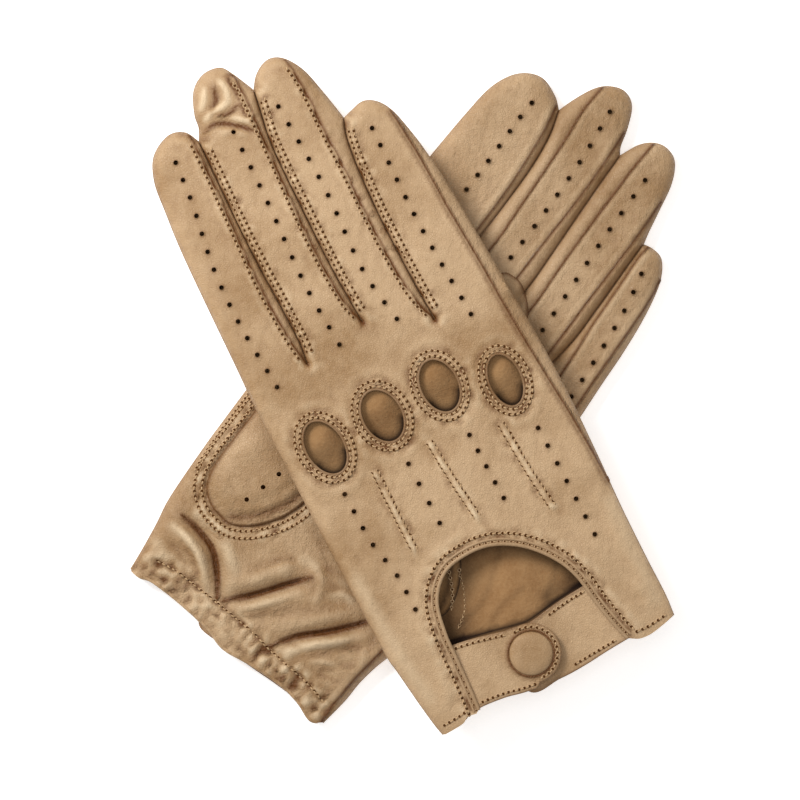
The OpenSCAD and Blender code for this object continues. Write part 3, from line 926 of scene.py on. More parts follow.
def shell(piece, flat, tris, outer, inner, painted_shading_and_dye=None, looksAt=(0, 1)):
    # closes an outer and an inner surface round their free edges; tris face outwards on the outer one
    n = smoothNormals(outer, tris)
    under = smoothNormals(inner, tris)
    pos = np.vstack([outer, inner])
    count = len(flat)
    tone = np.zeros(count) if painted_shading_and_dye is None else painted_shading_and_dye(flat)
    sides = np.vstack([tris[:, [0, 1]], tris[:, [1, 2]], tris[:, [2, 0]]])
    _, first, counts = np.unique(np.sort(sides, axis=1), axis=0, return_index=True, return_counts=True)
    rim = sides[first[counts == 1]]
    a, b = rim[:, 0], rim[:, 1]
    out = np.cross(pos[b] - pos[a], n[a] + n[b])
    out /= np.maximum(np.linalg.norm(out, axis=1)[:, None], 1e-15)
    edge = np.vstack([np.column_stack([b, a, a + count]), np.column_stack([b, a + count, b + count])])
    turned = tris[:, ::-1]
    piece.add(
        pos, np.vstack([flat, flat]), np.vstack([tris, turned + count, edge]),
        np.concatenate([n[tris], -under[turned], np.repeat(np.vstack([out, out])[:, None, :], 3, axis=1)]),
        np.repeat([looksAt[0], looksAt[1], looksAt[0]], [len(tris), len(tris), len(edge)]),
        np.concatenate([tone, tone]),
    )


def panel(piece, loops, height, up=1, spacing=1.35, thick=0.8, painted_shading_and_dye=None, dense=(), looksAt=(0, 1)):
    # one flat-cut leather panel, laid on a height, with its thickness, its flesh side and its cut edges
    flat, tris = triangulate(loops, spacing, dense)
    outer = piece.glove.world(flat, height(flat))
    tris = tris if up > 0 else tris[:, ::-1]
    lean = smoothNormals(outer, tris) + [0, 0, 1.2 * up]
    lean /= np.linalg.norm(lean, axis=1)[:, None]
    shell(piece, flat, tris, outer, outer - lean * thick * mm, painted_shading_and_dye, looksAt)


def slab(piece, loops, low, high, soft=0.9, spacing=1.1, painted_shading_and_dye=None, bend=None, dense=(), looksAt=(0, 0)):
    # a strap or tab: two faces with softly rounded edges between two levels
    g = piece.glove
    flat, tris = triangulate(loops, spacing, dense)
    d = np.clip(Near([loops[0]]).away(flat) / soft, 0, 1)
    half = (high - low) / 2 * (0.3 + 0.7 * np.sqrt(1 - (1 - d) ** 2))
    mid = (high + low) / 2 + (bend(flat) if bend else 0)
    shell(piece, flat, tris, g.world(flat, mid + half), g.world(flat, mid - half), painted_shading_and_dye, looksAt)


def lathe(piece, centre, profile, around=56):
    # a round part turned about an upright axis, from the middle of its top to the middle of its underside
    g = piece.glove
    turn = np.linspace(0, 2 * math.pi, around, endpoint=False)
    ring = np.column_stack([np.cos(turn), np.sin(turn)])
    flat = np.vstack([np.array(centre) + ring * r for r, _ in profile])
    level = np.repeat([u for _, u in profile], around)
    pos = g.world(flat, level)
    tris = netTris(len(profile), around)[:, ::-1]
    normals = smoothNormals(pos, tris)
    half = len(profile) // 2 * around
    if normals[half, :2] @ (pos[half, :2] - pos[0, :2]) < 0:
        tris, normals = tris[:, ::-1], -normals
    piece.add(pos, flat, tris, normals[tris])


def tube(piece, line, u, width, height, closed=False, around=10, tone=0.0):
    # a rounded strip swept along a line: pipings, bindings and rolled edges
    g = piece.glove
    t = heading(line, closed)
    side = np.column_stack([-t[:, 1], t[:, 0]])
    turn = np.linspace(0, 2 * math.pi, around, endpoint=False)
    n = len(line)
    across = np.tile(np.cos(turn) * width / 2, n)[:, None]
    flat = np.repeat(line, around, 0) + np.repeat(side, around, 0) * across
    level = np.repeat(u, around) + np.tile(np.sin(turn) * height / 2, n)
    pos = g.world(flat, level)
    tris = netTris(n, around, closed)
    if not closed:
        caps = [(0, k + 1, k) for k in range(1, around - 1)]
        last = (n - 1) * around
        caps += [(last, last + k, last + k + 1) for k in range(1, around - 1)]
        tris = np.vstack([tris, caps])
    normals = smoothNormals(pos, tris)
    middle = pos.reshape(n, around, 3).mean(1).repeat(around, 0)
    if ((pos - middle) * normals).sum() < 0:
        tris = tris[:, ::-1]
        normals = -normals
    # the strip's tone is painted shade over all of it
    piece.add(pos, flat, tris, normals[tris], 0, np.full(len(pos), tone))


# one stitch, lying along x: a small rounded thread with both ends going down into the leather
stitchLook = {
    "length": 1.2, "width": 0.56, "height": 0.4, "arch": 0.2, "pitch": 2.0, "slant": 0.12, "uneven": 0.05,
    "hole": 0.62, "rim": [(1.55, -0.1), (1.1, 0.1), (0.9, 0.1), (0.02, 0.03)],
}


def stitchShape():
    s, rings, around = stitchLook, 6, 6
    pos = []
    for i in range(rings):
        f = i / (rings - 1)
        swell = math.sin(math.pi * (0.12 + 0.76 * f)) ** 0.5
        for k in range(around):
            a = 2 * math.pi * k / around
            pos.append((
                (f - 0.5) * s["length"], math.cos(a) * s["width"] / 2 * swell,
                math.sin(a) * s["height"] / 2 * swell + s["arch"] * math.sin(math.pi * f) + 0.04,
            ))
    last = (rings - 1) * around
    caps = [(0, k, k + 1) for k in range(1, around - 1)]
    caps += [(last, last + k + 1, last + k) for k in range(1, around - 1)]
    return np.array(pos), np.vstack([netTris(rings, around)[:, ::-1], caps])


def holeShape():
    # a needle hole: leather puckered up into a low rim round a pit coloured dark as painted shade
    n, rim = 10, stitchLook["rim"]
    a = np.linspace(0, 2 * math.pi, n, endpoint=False)
    ring = np.column_stack([np.cos(a), np.sin(a)]) * stitchLook["hole"]
    pos = np.vstack([np.column_stack([ring * out, np.full(n, z)]) for out, z in rim])
    return pos, netTris(len(rim), n), np.repeat([2, 2, 1], 2 * n)


stitchMesh, holeMesh = stitchShape(), holeShape()


def sew(piece, line, height, closed=False, up=1, pitch=None, size=1.0):
    # a row of stitches along a line, each between two needle holes
    g, s = piece.glove, stitchLook
    pitch = pitch or s["pitch"]
    walked = np.concatenate([[0], np.cumsum(np.hypot(*np.diff(line, axis=0).T))])
    if closed:
        walked = np.append(walked, walked[-1] + np.hypot(*(line[0] - line[-1])))
        line = np.vstack([line, line[:1]])
    n = max(1, int(round(walked[-1] / pitch)))
    along = (np.arange(n) + 0.5) * walked[-1] / n
    spots = np.concatenate([along - pitch * 0.42, along, along + pitch * 0.42])
    at = np.column_stack([np.interp(spots, walked, line[:, 0]), np.interp(spots, walked, line[:, 1])])
    at3 = g.world(at, height(at))
    start, mid, end = at3[:n], at3[n:2 * n], at3[2 * n:]
    e = 0.3
    gx = g.world(at + [e, 0], height(at + [e, 0]))
    gy = g.world(at + [0, e], height(at + [0, e]))
    normal = np.cross(gx - at3, gy - at3) * up
    normal /= np.linalg.norm(normal, axis=1)[:, None]
    rng = np.random.default_rng(n)
    shape, shapeTris = stitchMesh
    hole, holeTris, holeLook = holeMesh
    for i in range(n):
        nz = normal[n + i]
        tx = end[i] - start[i]
        tx -= nz * (tx @ nz)
        tx /= np.linalg.norm(tx)
        ty = np.cross(nz, tx)
        slant = rng.normal(0, s["slant"])
        tx, ty = tx * math.cos(slant) + ty * math.sin(slant), ty * math.cos(slant) - tx * math.sin(slant)
        grow = size * (1 + rng.normal(0, s["uneven"]))
        pos = mid[i] + (shape[:, :1] * tx + shape[:, 1:2] * ty + shape[:, 2:] * nz) * mm * grow
        flat = np.repeat(at[n + i][None], len(pos), 0)
        piece.add(pos, flat, shapeTris, smoothNormals(pos, shapeTris)[shapeTris], 0)
        nz = normal[i]
        tx = np.cross((0, 1, 0), nz)
        tx /= np.linalg.norm(tx)
        ty = np.cross(nz, tx)
        pos = start[i] + (hole[:, :1] * tx + hole[:, 1:2] * ty + hole[:, 2:] * nz) * mm * grow
        flat = np.repeat(at[n + i][None], len(pos), 0)
        piece.add(pos, flat, holeTris, smoothNormals(pos, holeTris)[holeTris], holeLook)


perforation = {"pitch": 6.9, "radius": 0.84, "sides": 12}


def rowOfHoles(row):
    line, r = trace(row, 0.2), perforation["radius"]
    last = len(line) - 1
    n = max(1, round(0.2 * len(line) / perforation["pitch"]))
    return [oval(*line[min(last, round(i * last / n))], r, r, 0, perforation["sides"]) for i in range(n + 1)]


def clean(loop, least=0.22):
    # drops points that crowd each other
    kept = [loop[0]]
    for p in loop[1:]:
        if np.hypot(*(p - kept[-1])) > least:
            kept.append(p)
    if np.hypot(*(kept[0] - kept[-1])) < least:
        kept.pop()
    return np.array(kept)


def nearest(line, point):
    return int(np.argmin(np.hypot(*(line - np.array(point)).T)))


def outline(g, seamed, vented):
    # the cut shape of a face of the glove, inside its seams where it has them
    p = g.plan
    parts = [trace(p["handLeft"])]
    sideStop = None
    for k in range(4):
        tip = trace(p["tips"][k])
        leftSeam = p["leftSeams"][k] if seamed else None
        rightSeam = p["rightSeams"][k] if seamed else None
        first = nearest(tip, leftSeam[-1]) if leftSeam else 0
        last = nearest(tip, rightSeam[-1]) if rightSeam else len(tip) - 1
        if k:
            up = trace(leftSeam) if leftSeam else beside(trace(p["valleys"][k - 1]), -0.15)
            parts.append(up)
        parts.append(tip[first:last + 1])
        if rightSeam:
            parts.append(trace(rightSeam)[::-1])
            sideStop = rightSeam[0][1]
        elif k < 3:
            parts.append(beside(trace(p["valleys"][k]), 0.15)[::-1])
    right = trace(p["handRight"])
    parts.append(right[right[:, 1] < sideStop - 0.4] if seamed else right)
    if vented:
        near, far = ventedCuff[g.side]
        opening = beside(trace(back["vent"]), 0.75)[::-1]
        opening = opening[opening[:, 1] > (near[-1][1] if g.side == "left" else -9)]
        parts += [trace(near), opening, trace(far)]
    else:
        parts.append(trace(p["plainCuff"]))
    return clean(np.vstack(parts))


def bands(g):
    # the strips that show between a finger's seam and its edge
    p, made = g.plan, []
    for k in range(4):
        tip = trace(p["tips"][k])
        left, right = p["leftSeams"][k], p["rightSeams"][k]
        if left:
            seam = trace(left)
            top = tip[:nearest(tip, left[-1]) + 1][::-1]
            loop = [seam, top, beside(trace(p["valleys"][k - 1]), -0.15)[::-1]]
            made.append(("sides", clean(np.vstack(loop))))
        if right:
            seam = trace(right)
            stop = nearest(tip, right[-1])
            if k < 3:
                loop = [seam, tip[stop:], beside(trace(p["valleys"][k]), 0.15)[::-1]]
                made.append(("sides", clean(np.vstack(loop))))
            else:
                hand = trace(p["handRight"])
                loop = [seam, tip[stop:], hand[hand[:, 1] > right[0][1] + 0.4]]
                made.append(("wrap", clean(np.vstack(loop))))
    return made


def wall(piece, g, line, outward, look=0):
    # the edge of the glove, closing the upper face to the lower one
    rows = 5
    t = heading(line)
    n = np.column_stack([-t[:, 1], t[:, 0]]) * outward
    mid = g.high / 2
    flat, level = [], []
    for i in range(rows):
        a = math.pi / 2 - math.pi * i / (rows - 1)
        flat.append(line + n * 0.35 * math.cos(a))
        level.append(np.full(len(line), mid + g.edge * math.sin(a)))
    flat, level = np.vstack(flat), np.concatenate(level)
    pos = g.world(flat, level)
    m = len(line)
    tris = netTris(rows, m, closedAcross=False)
    normals = smoothNormals(pos, tris)
    out3 = np.column_stack([n[:, :1] * g.x + n[:, 1:] * g.y, np.zeros(m)])
    if (normals[:m] * out3).sum() < 0:
        tris, normals = tris[:, ::-1], -normals
    inner = pos - np.tile(out3, (rows, 1)) * 0.7 * mm
    # the side wall carries a little painted shade
    piece.add(pos, flat, tris, normals[tris], look, np.full(len(pos), 0.25))
    piece.add(inner, flat, tris[:, ::-1], -normals[tris[:, ::-1]], 1, np.full(len(pos), 0.25))


def toneOf(g, *groups):
    # painted shading beside lines: painted shade in seams (partly darker dye), grooves, hole edges and gaps,
    # and along the glove's outline; painted highlight where the strength is below nought. Each group is
    # (lines, reach, strength)
    parts = [(Near(lines), reach, strength) for lines, reach, strength in groups]

    def tone(flat):
        dark = sum(strength * np.exp(-((near.away(flat) / reach) ** 2)) for near, reach, strength in parts)
        return np.clip(dark + 0.15 * np.exp(-((g.near.away(flat) / 1.0) ** 2)), -1, 1)

    return tone


def paintedFoldShade():
    # painted shade in the folds near the cuff: narrow in each fold, broad around it
    narrow = Near([trace(line) for line in cuffFolds])
    return lambda flat: (
        0.7 * np.exp(-((narrow.away(flat) / 0.7) ** 2)) + 0.2 * np.exp(-((narrow.away(flat) / 4.5) ** 2))
    )


# each tone darkens its binding with painted shade
bindingPlan = {
    "knuckle": {"out": 0.45, "width": 0.85, "height": 0.8, "rise": -0.15, "tone": 0.5},
    "vent": {"out": 0.35, "width": 1.35, "height": 1.1, "rise": 0.05, "tone": 0.16},
    "roll": {"out": 2.1, "width": 1.0, "height": 0.9, "rise": -0.25, "tone": 0.12},
    "knuckleRows": ((1.45, 1.9), (3.3, 2.05)),  # how far out each row of stitches runs, and its pitch
    "ventRows": ((4.1, 2.0, 1.1), (1.25, 2.2, 0.7)),  # the same, and the size of the stitches
    "pointRows": (1.25, -1.25),
}


def backDetails(g, pieces, height, up):
    # bound knuckle holes and vent, and the three stitched points
    sewn, plan = pieces["thread"], bindingPlan
    edge, roll = plan["vent"], plan["roll"]
    bound = Piece(g, "knuckle_bindings", ["binding"], "binding_leather")
    for x, y, a, b, lean in back["knuckles"]:
        s = plan["knuckle"]
        ring, beyond = (oval(x, y, a + s["out"] * n, b + s["out"] * n, lean, 64) for n in (1, 2))
        tube(bound, ring, height(beyond) + s["rise"] * up, s["width"], s["height"], True, 10, s["tone"])
        for away, pitch in plan["knuckleRows"]:
            sew(sewn, oval(x, y, a + away, b + away, lean, 120), height, True, up, pitch, 1.1)
    pieces["knuckles"] = bound
    bound = Piece(g, "vent_binding", ["binding"], "binding_leather")
    vent = trace(back["vent"])
    vent = vent if g.side == "right" else vent[vent[:, 1] > 4]
    level = height(beside(vent, 1.1)) + edge["rise"] * up
    tube(bound, beside(vent, edge["out"]), level, edge["width"], edge["height"], False, 10, edge["tone"])
    rolled = beside(vent, roll["out"])
    level = height(rolled) + roll["rise"] * up
    tube(bound, rolled, level, roll["width"], roll["height"], False, 8, roll["tone"])
    pieces["vent"] = bound
    for away, pitch, size in plan["ventRows"]:
        sew(sewn, beside(vent, away), height, False, up, pitch, size)
    for line in back["points"]:
        for d in plan["pointRows"]:
            sew(sewn, beside(trace(line), d), height, False, up)


def insetSeam():
    # the part of the thumb's loop that is sewn into the palm
    loop = trace(thumbPlan["loop"], closed=True)
    start, end = (nearest(loop, point) for point in thumbPlan["insetEnds"])
    return loop[start:end]


def palmDetails(pieces, height, up):
    # rows of stitches round the thumb's inset, closest together on the index finger's side
    seam, pitch = insetSeam(), thumbPlan["rowPitch"]
    rows = [beside(seam, -away) for away in thumbPlan["insetRows"]]
    for row in rows + [trace(line) for line in palm["sideRows"]]:
        sew(pieces["thread"], row, height, False, up, pitch)


def makeThumb(g, up):
    # the thumb lies across the palm; it grows out of the inset and stands free above it
    piece = Piece(g, "thumb", ["palm", "flesh"], "palm_leather")
    loop = clean(trace(thumbPlan["loop"], closed=True))
    near = Near([loop])
    ridge = Relief(0).lumps(9, 0.22, 31)
    ridge.press(thumbPlan["fold"], -1.7, 1.3)
    ridge.press(beside(trace(thumbPlan["fold"]), 3.4), 0.7, 1.6)
    for line, height, width in thumbPlan["creases"]:
        ridge.press(line, height, width)
    face = g.topAt if up > 0 else g.lowAt

    def rise(flat):
        reach = np.interp(flat[:, 1], *thumbPlan["slope"])
        d = np.clip(near.away(flat) / reach, 0, 1)
        full = np.interp(flat[:, 1], *thumbPlan["rise"])
        return full * np.sqrt(1 - (1 - d) ** 2) + ridge.at(flat) * np.clip(d * 4, 0, 1)

    fold = Near([trace(thumbPlan["fold"])])
    # painted shade along the thumb's edge and in its fold
    tone = lambda flat: np.clip(
        0.8 * np.exp(-((near.away(flat) / 1.0) ** 2)) + 0.8 * np.exp(-((fold.away(flat) / 1.1) ** 2)), 0, 1
    )
    flat, tris = triangulate([loop] + [h for row in thumbPlan["holes"] for h in rowOfHoles(row)], 1.3)
    outer = g.world(flat, face(flat) + up * rise(flat))
    inner = g.world(flat, face(flat) + up * np.minimum(rise(flat) - 0.8, 0.25 * rise(flat) - 0.3))
    shell(piece, flat, tris if up > 0 else tris[:, ::-1], outer, inner, tone)
    return piece


strapPlan = {
    "base": [(-12, 19), (0, 19.3), (10, 20.8), (22, 21.9), (30.4, 22.4), (31, 10), (30.6, -1.2), (28, -1.7),
             (20, -2.2), (10, -3.1), (0, -3.2), (-12, -1.8)],
    "tab": [(-31.4, 25.4), (-28.5, 25), (-22, 23.9), (-15, 22.2), (-9, 20.6)],
    "tabLow": [(-9, -2.2), (-14, -1.4), (-20, 0), (-28, 0.9), (-31.6, 0.6)],
    "snap": (-5, 9.5), "round": 10.6,
    # the covered cap, turned: radius and level, from the middle of its top to its underside
    "cap": [
        (0.02, 8.0), (2, 7.98), (4, 7.86), (5.4, 7.62), (6.3, 7.34), (7, 6.98), (7.45, 6.6), (7.62, 6.3),
        (7.3, 6.12), (4, 6.2), (0.02, 6.2),
    ],
    "baseRows": [[(7, 18.4), (14, 19.4), (22, 20)], [(7, -1.2), (15, -0.8), (24, -0.2)]],
}


def makeStrap(g):
    # the strap under the snap, the tab that closes over it, and the covered cap
    s, pieces = strapPlan, {}
    sewn = Piece(g, "strap_stitching", ["thread", "hole", "back"], "binding_leather")
    isRight = g.side == "right"
    level = (lambda z: z) if isRight else (lambda z: g.high - z)
    up = 1 if isRight else -1

    def fit(line):
        # the hidden strap of the glove lying palm up keeps inside its cuff
        below = np.minimum(line[:, 1:] - 9.5, 0)
        return line - (0 if isRight else 0.3) * below * [0, 1]

    def reach(z0, z1):
        return min(level(z0), level(z1)), max(level(z0), level(z1))

    base = Piece(g, "strap_base", ["back", "flesh"], "back_leather")
    loop = clean(fit(trace(s["base"], closed=True)))

    def bend(flat):
        f = np.clip((flat[:, 0] - 13) / 12, 0, 1)
        return up * 2.4 * f**2 * (3 - 2 * f)

    # painted shade along the strap's edges
    slab(base, [loop], *reach(2.4, 3.3), bend=bend, painted_shading_and_dye=toneOf(g, ([loop], 0.8, 0.6)))
    pieces["strap_base"] = base
    face = lambda flat: level(3.3) + bend(flat)
    for row in s["baseRows"]:
        sew(sewn, fit(trace(row)), face, False, up)

    x, y = s["snap"]
    turn = np.radians(np.linspace(100, -100, 50))
    arc = np.column_stack([x + s["round"] * np.cos(turn), y + s["round"] * np.sin(turn)])
    tab = Piece(g, "tab", ["back", "flesh"], "back_leather")
    loop = clean(fit(np.vstack([trace(s["tab"]), arc, trace(s["tabLow"])]))[::-1])
    ring = oval(x, y, 8.1, 8.1, 0, 80)
    # painted shade along the tab's edges and in a dark ring round the cap
    tone = toneOf(g, ([loop], 0.7, 0.55), ([ring], 0.75, 1.0))
    slab(tab, [loop], *reach(4.7, 6.2), soft=1.2, painted_shading_and_dye=tone, dense=[(ring, (-0.7, 0, 0.7))])
    pieces["tab"] = tab
    tabSewn = Piece(g, "tab_stitching", ["thread", "hole", "back"], "binding_leather")
    face = lambda flat: np.full(len(flat), level(6.2))
    sew(tabSewn, beside(trace(s["tab"]), -1.5)[3:], face, False, up)
    sew(tabSewn, fit(beside(arc, -1.35)), face, False, up)
    sew(tabSewn, fit(beside(trace(s["tabLow"]), -1.5)[:-3]), face, False, up)
    pieces["tabSewn"] = tabSewn
    cap = Piece(g, "cap", ["cap"], "cap_leather")
    lathe(cap, s["snap"], [(r, level(z)) for r, z in s["cap"]])
    pieces["cap"] = cap
    pieces["strapSewn"] = sewn
    return pieces


def makeHems(g):
    # the turned hems inside the cuff, and the elastic sewn into the palm's
    p, isRight = g.plan, g.side == "right"
    inBack = (lambda f, d: g.topAt(f) - 0.8 - d) if isRight else (lambda f, d: g.lowAt(f) + 1.4 + d)
    inPalm = (lambda f, d: g.lowAt(f) + 1.35 + d) if isRight else (lambda f, d: g.topAt(f) - 1.2 - d)

    def band(line, low, high):
        line = np.array(line)[::-1]
        return clean(np.vstack([line + [0, low], (line + [0, high])[::-1]]))

    across = trace(p["plainCuff"]) * [0.965, 1] + [0.4, 0]
    backHem = Piece(g, "back_hem", ["flesh"], "back_leather")
    for line in ventedCuff[g.side]:
        edge = trace(line) * [0.96, 1]
        panel(backHem, [band(edge, 0.7, 5.4)], lambda f: inBack(f, 0), 1, 1.5, 0.6, looksAt=(0, 0))
    palmHem = Piece(g, "palm_hem", ["flesh"], "palm_leather")
    panel(palmHem, [band(across, 0.9, 8.4)], lambda f: inPalm(f, 0.55), 1, 1.3, 0.5, looksAt=(0, 0))
    elastic = Piece(g, "wrist_elastic", ["elastic"], "elastic")
    panel(elastic, [band(across * [0.9, 1], 2.2, 7.6)], lambda f: inPalm(f, 0), 1, 1.3, 0.45, looksAt=(0, 0))
    return {"back_hem": backHem, "palm_hem": palmHem, "wrist_elastic": elastic}


# painted highlights on the crumpled fingertip, the right glove's edges and the left cuff's ridges
painted_highlight_lines = {
    "tip": [
        [(-18.6, 227.6), (-14.6, 229), (-10, 229.4)], [(-8.8, 229), (-7.6, 233.4), (-8, 237)],
        [(-18.4, 231.4), (-16, 234), (-14.2, 237)], [(-9.6, 222.8), (-6.8, 220.4)],
    ],
    "right": [[(-43.8, 12), (-45.4, 26), (-46.4, 40), (-46.6, 60)], [(43, 6), (43.6, 24), (44.6, 44)]],
    "left": [
        [(-36, 31), (-29, 30.4)], [(-39.6, 22.4), (-32, 21), (-25, 17)], [(19, 13), (25, 19.6), (32, 25.4)],
        [(19, 38), (25, 40.4)], [(-41, 14), (-36, 12.6)], [(2, 41), (8, 42.4)], [(-20, 29), (-12, 24)],
    ],
}

# what shows of the palm's inner face through the vent: lines and patches of painted shadow and shade (the
# gap under the strap, the creases, a corner and the left side), and two rows of stitches
liningPlan = {
    "gap": [(-28.5, 25.9), (-15, 23), (-5, 20.8), (0, 20.2), (10, 21.4), (22, 22.6)],
    "creases": [
        [(-22, 30), (-12, 33), (-4, 40), (2, 46)], [(8, 24), (14, 29), (17, 33)],
        [(-14, 24), (-6, 29), (3, 31)],
    ],
    "corner": [(10, 24), (18, 25)],
    "shade": [(-24, 27), (-20, 37), (-13, 44)],
    "rows": [[(-13.6, 47), (-15.6, 40), (-19, 33), (-24, 28.5)], [(-17, 48), (-19.4, 41), (-23, 35)]],
}


def makeGlove(g):
    p, side = g.plan, g.side
    isRight = side == "right"
    pieces = {
        "back": Piece(g, "back", ["back", "flesh"], "back_leather"),
        "palm": Piece(g, "palm", ["palm", "flesh"], "palm_leather"),
        "sides": Piece(g, "fourchettes", ["sides", "flesh"], "binding_leather"),
        "thread": Piece(g, "stitching", ["thread", "hole", "back"], "binding_leather"),
    }
    knuckleHoles = [oval(x, y, a + 0.4, b + 0.4, lean, 44) for x, y, a, b, lean in back["knuckles"]]
    backHoles = [hole for row in back["rows"] for hole in rowOfHoles(row)]
    palmHoles = [hole for row in palm["rows"] for hole in rowOfHoles(row)]
    inset = clean(np.vstack([insetSeam(), trace(palm["insetTop"])]))
    seamLines = [trace(s) for s in p["leftSeams"] + p["rightSeams"] if s] + [trace(v) for v in p["valleys"]]
    vent = trace(back["vent"])
    ovals = [oval(x, y, a + d, b + d, lean, 90) for x, y, a, b, lean in back["knuckles"] for d in (0.6, 2.5)]
    holeEdges = [np.vstack(backHoles)]
    tipFolds = [line for line, height, _ in rightFolds["tip"] if height < 0]
    sideLine = beside(trace(p["rightSeams"][3]), 1.7)
    ventGrooves = [beside(vent, 1.75), beside(vent, 3.1)]
    # painted shade in the seams (partly darker dye), vent grooves, knuckle rings, hole edges, side seam and
    # fingertip folds; painted highlight on the fingertip and the edges
    backTone = toneOf(
        g, (seamLines, 0.6, 0.68), (seamLines, 2.8, 0.17), (ventGrooves, 0.5, 0.5), ([vent], 2.2, 0.22),
        (ovals, 0.7, 0.3), (ovals, 2.4, 0.2), (holeEdges, 0.45, 0.5), ([sideLine], 0.5, 0.45),
        (tipFolds, 0.7, 0.55), (tipFolds, 2.0, 0.2), (painted_highlight_lines["tip"], 1.0, -0.8),
        (painted_highlight_lines["right"], 2.6, -0.4),
    )
    # painted shade in the seams (partly darker dye) and at the hole edges; painted highlight on the left
    # cuff's ridges
    palmTone = toneOf(
        g, (seamLines, 0.55, 0.66), (seamLines, 2.4, 0.12), ([np.vstack(palmHoles)], 0.45, 0.5),
        (painted_highlight_lines["left"], 1.9, -0.5),
    )
    plain = outline(g, False, False)
    cavity = g.top.cavity()
    darkest = 0.5 if isRight else 0.85

    # painted shade in the hollows of the relief and painted highlight on its ridges, the same over the
    # gathers by the stitches
    def relief_shading(f):
        relief = np.interp(cavity.at(f), [-1, 0, 1], [-0.7, 0, darkest])
        return relief * (0.5 + 0.5 * g.round(f)) - 1.4 * g.gather.at(f)

    dense = [(trace(s), (-1.2, -0.6, 0, 0.6, 1.2)) for s in back["points"]] if isRight else []
    if isRight:
        panel(pieces["back"], [outline(g, True, True)] + knuckleHoles + backHoles, g.topAt, 1, 1.1,
              painted_shading_and_dye=lambda f: backTone(f) + relief_shading(f), dense=dense)
        # crescents of painted shadow at the cuff-side edge of each knuckle hole, on the lining below
        crescents = [
            oval(x - lean * 0.03, y, a - 0.2, b - 0.4, lean, 80)[46:75]
            for x, y, a, b, lean in back["knuckles"]
        ]
        # painted shadow in the crescents and the gap under the strap, painted shade round the vent, in the
        # lining's creases, its corner and its left side
        gap = liningPlan["gap"]
        lining = toneOf(
            g, (crescents, 1.5, 0.95), ([gap], 0.9, 0.95), ([vent], 3.5, 0.42),
            (liningPlan["creases"], 1.2, 0.22), ([liningPlan["corner"]], 3.5, 0.45),
            ([liningPlan["shade"]], 5.5, 0.5),
        )
        near = [(line, (-1.4, 0, 1.4)) for line in crescents] + [(trace(gap), (-0.7, 0, 0.7))]
        panel(pieces["palm"], [plain, inset] + palmHoles, g.lowAt, -1, 1.5, painted_shading_and_dye=lining, dense=near)
        for k in range(3):
            for away in (1.25, 2.9):
                sew(pieces["thread"], beside(trace(p["valleys"][k]), -away)[6:-4], g.topAt)
            sew(pieces["thread"], beside(trace(p["rightSeams"][k]), 1.35)[5:-3], g.topAt)
        sew(pieces["thread"], trace([(-43.6, 1.4), (-38, 1.7), (-33.4, 2.2)]), g.topAt)
        sew(pieces["thread"], trace([(31, -0.9), (36, -1.2), (43.6, -0.4)]), g.topAt)
        backDetails(g, pieces, g.topAt, 1)
        palmDetails(pieces, g.lowAt, -1)
        for line in liningPlan["rows"]:
            sew(pieces["thread"], trace(line), lambda f: g.lowAt(f) + 0.75, size=0.72)
    else:
        # painted shade in the seams and folds, painted highlight on the ridges
        folded = paintedFoldShade()
        tone = lambda f: np.clip(palmTone(f) + folded(f) + relief_shading(f), -1, 1)
        dense = [(trace(line), (-1.6, -0.8, 0, 0.8, 1.6)) for line in cuffFolds + [casing]]
        loops = [outline(g, True, False), inset] + palmHoles
        panel(pieces["palm"], loops, g.topAt, 1, 1.1, painted_shading_and_dye=tone, dense=dense)
        panel(pieces["back"], [outline(g, False, True)] + knuckleHoles + backHoles, g.lowAt, -1, 1.8)
        sew(pieces["thread"], trace(casing), g.topAt, pitch=1.9, size=1.15)
        cuff = trace(p["cuff"])[3:-3]
        tube(pieces["palm"], cuff + [0, 0.55], g.topAt(cuff + [0, 0.9]) - 0.5, 1.3, 1.5)
        backDetails(g, pieces, g.lowAt, -1)
        palmDetails(pieces, g.topAt, 1)
    for kind, loop in bands(g):
        panel(pieces["sides" if kind == "sides" else "palm"], [loop], g.topAt, 1, 1.2, painted_shading_and_dye=palmTone)
    wall(pieces["palm"], g, np.vstack([trace(p["handLeft"]), trace(p["tips"][0])]), 1)
    wall(pieces["palm"], g, np.vstack([trace(p["tips"][3]), trace(p["handRight"])]), 1)
    for k in range(3):
        valley = trace(p["valleys"][k])
        wall(pieces["sides"], g, beside(valley, 0.15)[::-1], 1)
        wall(pieces["sides"], g, beside(valley, -0.15), 1)
        if k:
            wall(pieces["sides"], g, trace(p["tips"][k]), 1)
    pieces["thumb"] = makeThumb(g, -1 if isRight else 1)
    pieces.update(makeStrap(g))
    pieces.update(makeHems(g))
    print(side, "glove cut and sewn")
    return pieces


made = {side: makeGlove(g) for side, g in gloves.items()}

standsFor = {
    "back": ["hand_back"], "palm": ["hand_palm"], "thumb": ["thumb"], "knuckles": ["knuckle_bindings"],
    "sides": ["fourchette_index_middle", "fourchette_middle_ring", "fourchette_ring_little"],
    "vent": ["vent_binding"], "strap_base": ["strap_base"], "tab": ["snap_tab"], "cap": ["snap_cap"],
    "back_hem": ["back_hem"], "palm_hem": ["palm_hem"], "wrist_elastic": ["wrist_elastic"],
}
tipStandsFor = {"back": "back", "palm": "palm", "sides": "fourchettes"}

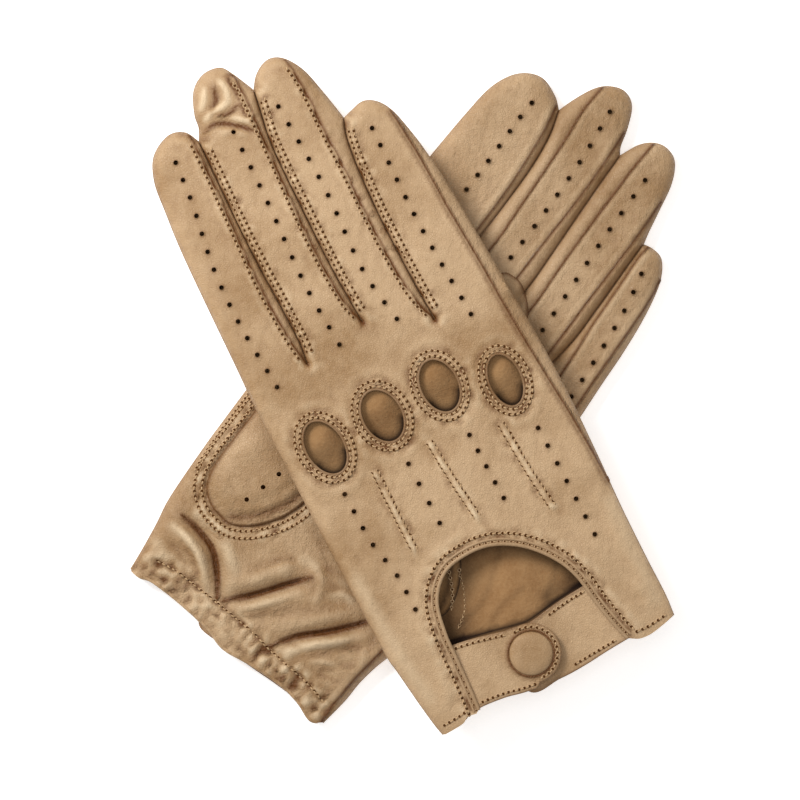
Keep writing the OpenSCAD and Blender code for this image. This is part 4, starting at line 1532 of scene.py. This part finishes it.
for side, pieces in made.items():
    g = gloves[side]
    root, tabBody = side + "_glove", side + "_tab"
    for key, piece in pieces.items():
        for part, obj in piece.objects(key in ("back", "palm", "sides", "thread")).items():
            if part:
                name = fingers[part - 1]
                line = np.array([[0, folds[part - 1] - 8.5], [0, folds[part - 1] + 9]])
                start, end = g.world(line, np.full(2, 4.0))
                start[2] = end[2]
                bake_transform(obj)
                if key in tipStandsFor:
                    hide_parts(f"{side}_{name}_tip_{tipStandsFor[key]}")
                continue
            if key in ("tab", "tabSewn"):
                line = np.array([[-29.6, 12], [-25.4, 12]])
                start, end = g.world(line, np.full(2, 5.0))
                start[2] = end[2]
                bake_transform(obj)
            else:
                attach(obj, tabBody if key == "cap" else root)
            if key in standsFor:
                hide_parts(*[f"{side}_{n}" for n in standsFor[key]])

for name, node in frame["nodes"].items():
    if name.endswith(("snap_post", "snap_stud", "snap_socket")):
        node.data.materials.clear()
        node.data.materials.append(looks["metal"])

print("pieces joined to their bodies")

studio = {
    "paper": [(0.92, 0.92, 0.92), (0.94, 0.94, 0.94)], "glow": 0.5, "sky": 0.4,
    "key": {"place": (-0.7, 0.62, 0.85), "size": 0.42, "power": 13},
    "overhead": {"place": (0.1, 0.1, 1.6), "size": 0.9, "power": 5},
}
bpy.ops.mesh.primitive_plane_add(size=6, location=(0, 0, 0))
floor = bpy.context.object
floor.name = "floor"
paper = Finish("floor_paper")
tone = paper.noise(3, 2, 0.5, paper.place())
floor.data.materials.append(paper.set({
    "Base Color": paper.mix(tone, *studio["paper"]), "Roughness": 0.9,
    "Emission Color": (1, 1, 1), "Emission Strength": studio["glow"],
}))

for name in ("key", "overhead"):
    look, data = studio[name], bpy.data.lights.new(name, "AREA")
    data.shape, data.size, data.energy = "SQUARE", look["size"], look["power"]
    lamp = bpy.data.objects.new(name, data)
    lamp.location = look["place"]
    lamp.rotation_euler = (-Vector(look["place"])).to_track_quat("-Z", "Y").to_euler()
    scene.collection.objects.link(lamp)

world = bpy.data.worlds.new("studio")
scene.world = world
world.use_nodes = True
world.node_tree.nodes["Background"].inputs["Color"].default_value = (1, 1, 1, 1)
world.node_tree.nodes["Background"].inputs["Strength"].default_value = studio["sky"]

camera = {"height": 2.4, "across": 0.28, "centre": (0.0005, -0.0015), "sensor": 36, "subject": 0.012}
lens = bpy.data.cameras.new("camera")
lens.sensor_width = camera["sensor"]
lens.lens = camera["sensor"] * (camera["height"] - camera["subject"]) / camera["across"]
lens.clip_end = 20
eye = bpy.data.objects.new("camera", lens)
eye.location = (*camera["centre"], camera["height"])
scene.collection.objects.link(eye)
scene.camera = eye
scene.view_settings.view_transform = "Standard"
print("floor, lights and camera set")
